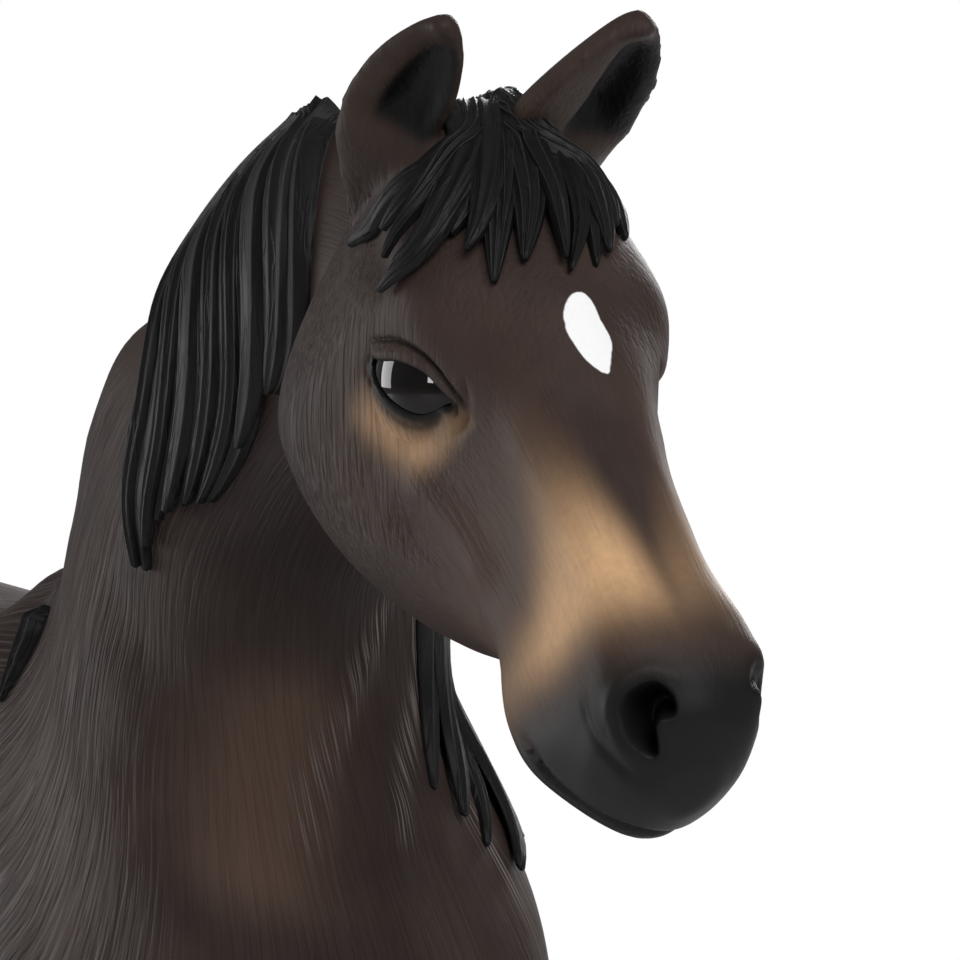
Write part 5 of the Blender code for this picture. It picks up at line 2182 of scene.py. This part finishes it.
RIGHT_FALL = (
    ((34.3, -2.4, 100.4), (34.6, -3.7, 99.5), (35.7, -5, 98.1), (36.8, -6.1, 96.5),
     (37.5, -6.7, 94.9), (37.6, -6.9, 93), (36.7, -6.7, 91.6), (35.7, -6.4, 90.5)),
    ((34.5, -2.8, 100.2), (33.7, -3.6, 99.1), (33.9, -4.4, 97.9), (34.9, -5.6, 96.3),
     (35.6, -6.3, 94.7), (35.8, -6.6, 92.9), (35.6, -6.5, 91.5), (35.5, -6.4, 90.6)),
    ((34.5, -2.9, 100.1), (32.4, -2.6, 99), (31.4, -3.3, 97.7), (32.2, -4.7, 96.1),
     (33.2, -5.6, 94.5), (33.9, -6.2, 92.7), (33.9, -6.2, 90.8), (33.1, -6, 88.9),
     (31.7, -5.7, 87.1), (30.6, -5.7, 85.8)),
    ((34.4, -3, 100.1), (31.4, -2.4, 98.8), (29.4, -2.4, 97.4), (30.2, -3.8, 96),
     (31.4, -5, 94.4), (32.2, -5.8, 92.5), (32.3, -6, 90.6), (31.6, -5.9, 88.6),
     (30.8, -5.8, 87), (30, -5.7, 85.7)),
    ((34.4, -3, 100), (31, -2.3, 98.6), (28.7, -1.9, 97.4), (27.8, -2.6, 95.8),
     (29, -4, 94.2), (30.1, -5.2, 92.4), (30.6, -5.7, 90.6), (30.3, -5.8, 88.7),
     (29.7, -5.8, 87.1), (29.2, -5.8, 85.5)),
    ((34, -2.9, 99.9), (30.2, -2.1, 98.3), (28, -1.8, 96.9), (26.4, -2, 95.4),
     (27, -3.3, 94), (28.1, -4.6, 92.3), (28.6, -5.3, 90.4), (28.6, -5.6, 88.5),
     (28.2, -5.7, 86.9), (27.9, -5.9, 84.8)),
    ((33.6, -2.7, 99.7), (29.7, -2, 98), (27.5, -1.8, 96.6), (25.7, -1.6, 95.4),
     (24.9, -2, 93.7), (25.9, -3.7, 92), (26.6, -4.7, 90.3), (26.8, -5.3, 88.3),
     (26.8, -5.6, 86.4), (26.8, -5.9, 84.3), (27.1, -6.1, 82.8)),
    ((33.2, -2.6, 99.6), (29.6, -2, 98), (26.6, -1.7, 96), (24.8, -1.5, 94.6),
     (23.8, -1.8, 93.2), (24.5, -3.1, 91.9), (24.9, -4.1, 90.3), (25.2, -4.8, 88.4),
     (25.3, -5.3, 86.4), (25.7, -5.8, 84.5), (26.5, -6.1, 83)),
)
LEFT_FALL = (
    ((39.8, 2.3, 98.2), (39.3, 2.9, 96.8), (36.6, 4.2, 90.9), (33.7, 4, 85),
     (31.7, 3.6, 80.6), (31.6, 4, 78.7), (32, 4, 77.2), (32.8, 3.6, 75.5), (33.7, 3, 74.1)),
    ((36.0, 1.6, 98.6), (35.3, 4.5, 94.7), (33.2, 6.1, 87.6), (31.4, 5.6, 82.5),
     (30.4, 5.1, 80), (30, 6, 78), (29.8, 6.9, 76.2), (30.1, 7.4, 74.6), (30.9, 7.9, 72.9),
     (32.2, 7.8, 71.4), (34, 6.6, 70.3)),
    ((33.0, 1.2, 97.6), (32.0, 5.2, 92.6), (29.9, 6.6, 85), (28.7, 7, 78.3),
     (28.7, 8, 75), (29.3, 8.5, 72.6), (30.4, 8.4, 71)),
    ((29.6, 1.6, 95.6), (28.6, 5.8, 90.5), (26.7, 8, 82.9), (25.7, 9, 75.4),
     (26.2, 10, 69.5), (27.7, 10, 65.7)),
    ((26.4, 1.8, 93.2), (25.4, 6.1, 88), (23.5, 9.1, 80.4), (22.7, 10, 73.3),
     (23, 10, 67.8), (24.2, 10, 64.5)),
    ((23.4, 2.0, 90.0), (22.2, 6.2, 85), (20.8, 9.1, 77.9), (20, 10, 71.6),
     (20.6, 10, 66.1)),
    ((20.8, 2.0, 86.4), (19.6, 6.2, 81.7), (18.3, 9.1, 76.2), (17.7, 10, 71.2),
     (18, 10, 67.4)),
    ((18.2, 2.0, 82.0), (16.9, 6.2, 78.7), (16, 9.1, 75.8), (15, 10, 72.4),
     (14.7, 10, 69.9)),
)
WITHERS_LOCK = ((17.5, -1.0, 78.8), (16.9, -2.2, 78.2), (16.5, -3.3, 77.5),
                (16.3, -4.2, 76.7), (16.2, -4.9, 75.9))


class ToyHorse:
    """The whole figure."""

    def __init__(self) -> None:
        """Settle the sizes that the pieces share."""
        self.trunk = Trunk()
        self.neck = Neck(tuple(self.trunk.point(self.trunk.withers_share, 1.0)))
        self.head = Head()
        self.head_place = self.neck.head_place(self.head.dip, self.head.tilt)
        pairs = (
            ("foreleg", (0.856, 13.0, 8.4, 13.8), 1.6, 42.0, FORELEG_STATIONS),
            ("hind_leg", (0.112, 27.0, 9.4, 13.6), -2.2, 44.5, HIND_LEG_STATIONS),
        )
        self.legs = tuple(
            Leg(f"{name}_{side.name.lower()}", side, *sizes, side.value * step, seam, stations)
            for name, sizes, step, seam, stations in pairs for side in Side)
        self.into = self.placing()

    def placing(self) -> Matrix:
        """Find the placing from the sculptor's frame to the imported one, at the left eye.

        Returns:
            The placing.
        """
        low, high = (np.array(corner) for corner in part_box("left_eye"))
        drawn = self.head_place @ Vector(np.array(self.head.eyes[0].packed) * (1, -1, 1))
        shift = Vector((low + high) / 2) - drawn * METRE
        return Matrix.Translation(shift) @ Matrix.Scale(METRE, 4)

    def build(self) -> None:
        """Model, finish and place every piece."""
        coat, hair, gloss = BayCoat().material(), BlackHair().material(), GlossEye().material()
        pieces = Body(self.trunk, self.neck, self.legs).shape()
        head = self.head.shape()
        cups = [ear.near(head.places, 9.0, 0.9, 0.62 * ear.width) for ear in self.head.ears]
        head_bed = head.tree(np.any(cups, axis=0))
        into_head = self.into @ self.head_place
        skin = pieces.pop("skin")
        neck_bed = skin.tree()
        for name, piece in pieces.items():
            piece.finish(self.into, coat, "coat", (name,))
        right = Mane("mane_right_hair", RIGHT_FALL, "mane_right_fall", height=1.5, root=0.85,
                     thin=0.6)
        left = Mane("mane_left_hair", LEFT_FALL, "mane_left_fall", (WITHERS_LOCK,), 3, 3.1)
        for fall in (right, left):
            fall.shape(neck_bed).finish(self.into, hair, "hair", (fall.node,))
        Forelock().shape(head_bed).finish(into_head, hair, "hair", ("forelock",))
        head.finish(into_head, coat, "coat", ("head",))
        Tail().shape(self.trunk).finish(self.into, hair, "hair", ("tail",))
        for side, eye in zip(Side, self.head.eyes):
            node = side.name.lower() + "_eye"
            self.bead(side, eye, node).finish(into_head, gloss, "eye", (node,))
        bpy.data.objects.remove(skin.item, do_unlink=True)

    @staticmethod
    def bead(side: Side, eye: Eye, node: str) -> Clay:
        """Shape one eye's bead.

        Args:
            side: the side that it looks to.
            eye: the eye, given for the right side.
            node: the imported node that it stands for.

        Returns:
            The bead.
        """
        bm = bmesh.new()
        bmesh.ops.create_uvsphere(bm, u_segments=96, v_segments=64, radius=1.0)
        bmesh.ops.transform(bm, matrix=eye.bead(), verts=bm.verts)
        bmesh.ops.scale(bm, vec=(1, -side.value, 1), verts=bm.verts)
        made = Clay(node + "_bead", mesh_of(bm, node + "_bead"))
        made.face_outwards()
        return made


def main() -> None:
    """Build the figure and its studio."""
    logging.basicConfig(level=logging.INFO, format="%(name)s: %(message)s")
    horse = ToyHorse()
    horse.build()
    studio = Studio()
    studio.camera((horse.into @ horse.head_place).translation)
    studio.light()
    studio.floor()
    bpy.context.scene.view_settings.view_transform = "Standard"


if __name__ == "__main__":
    main()
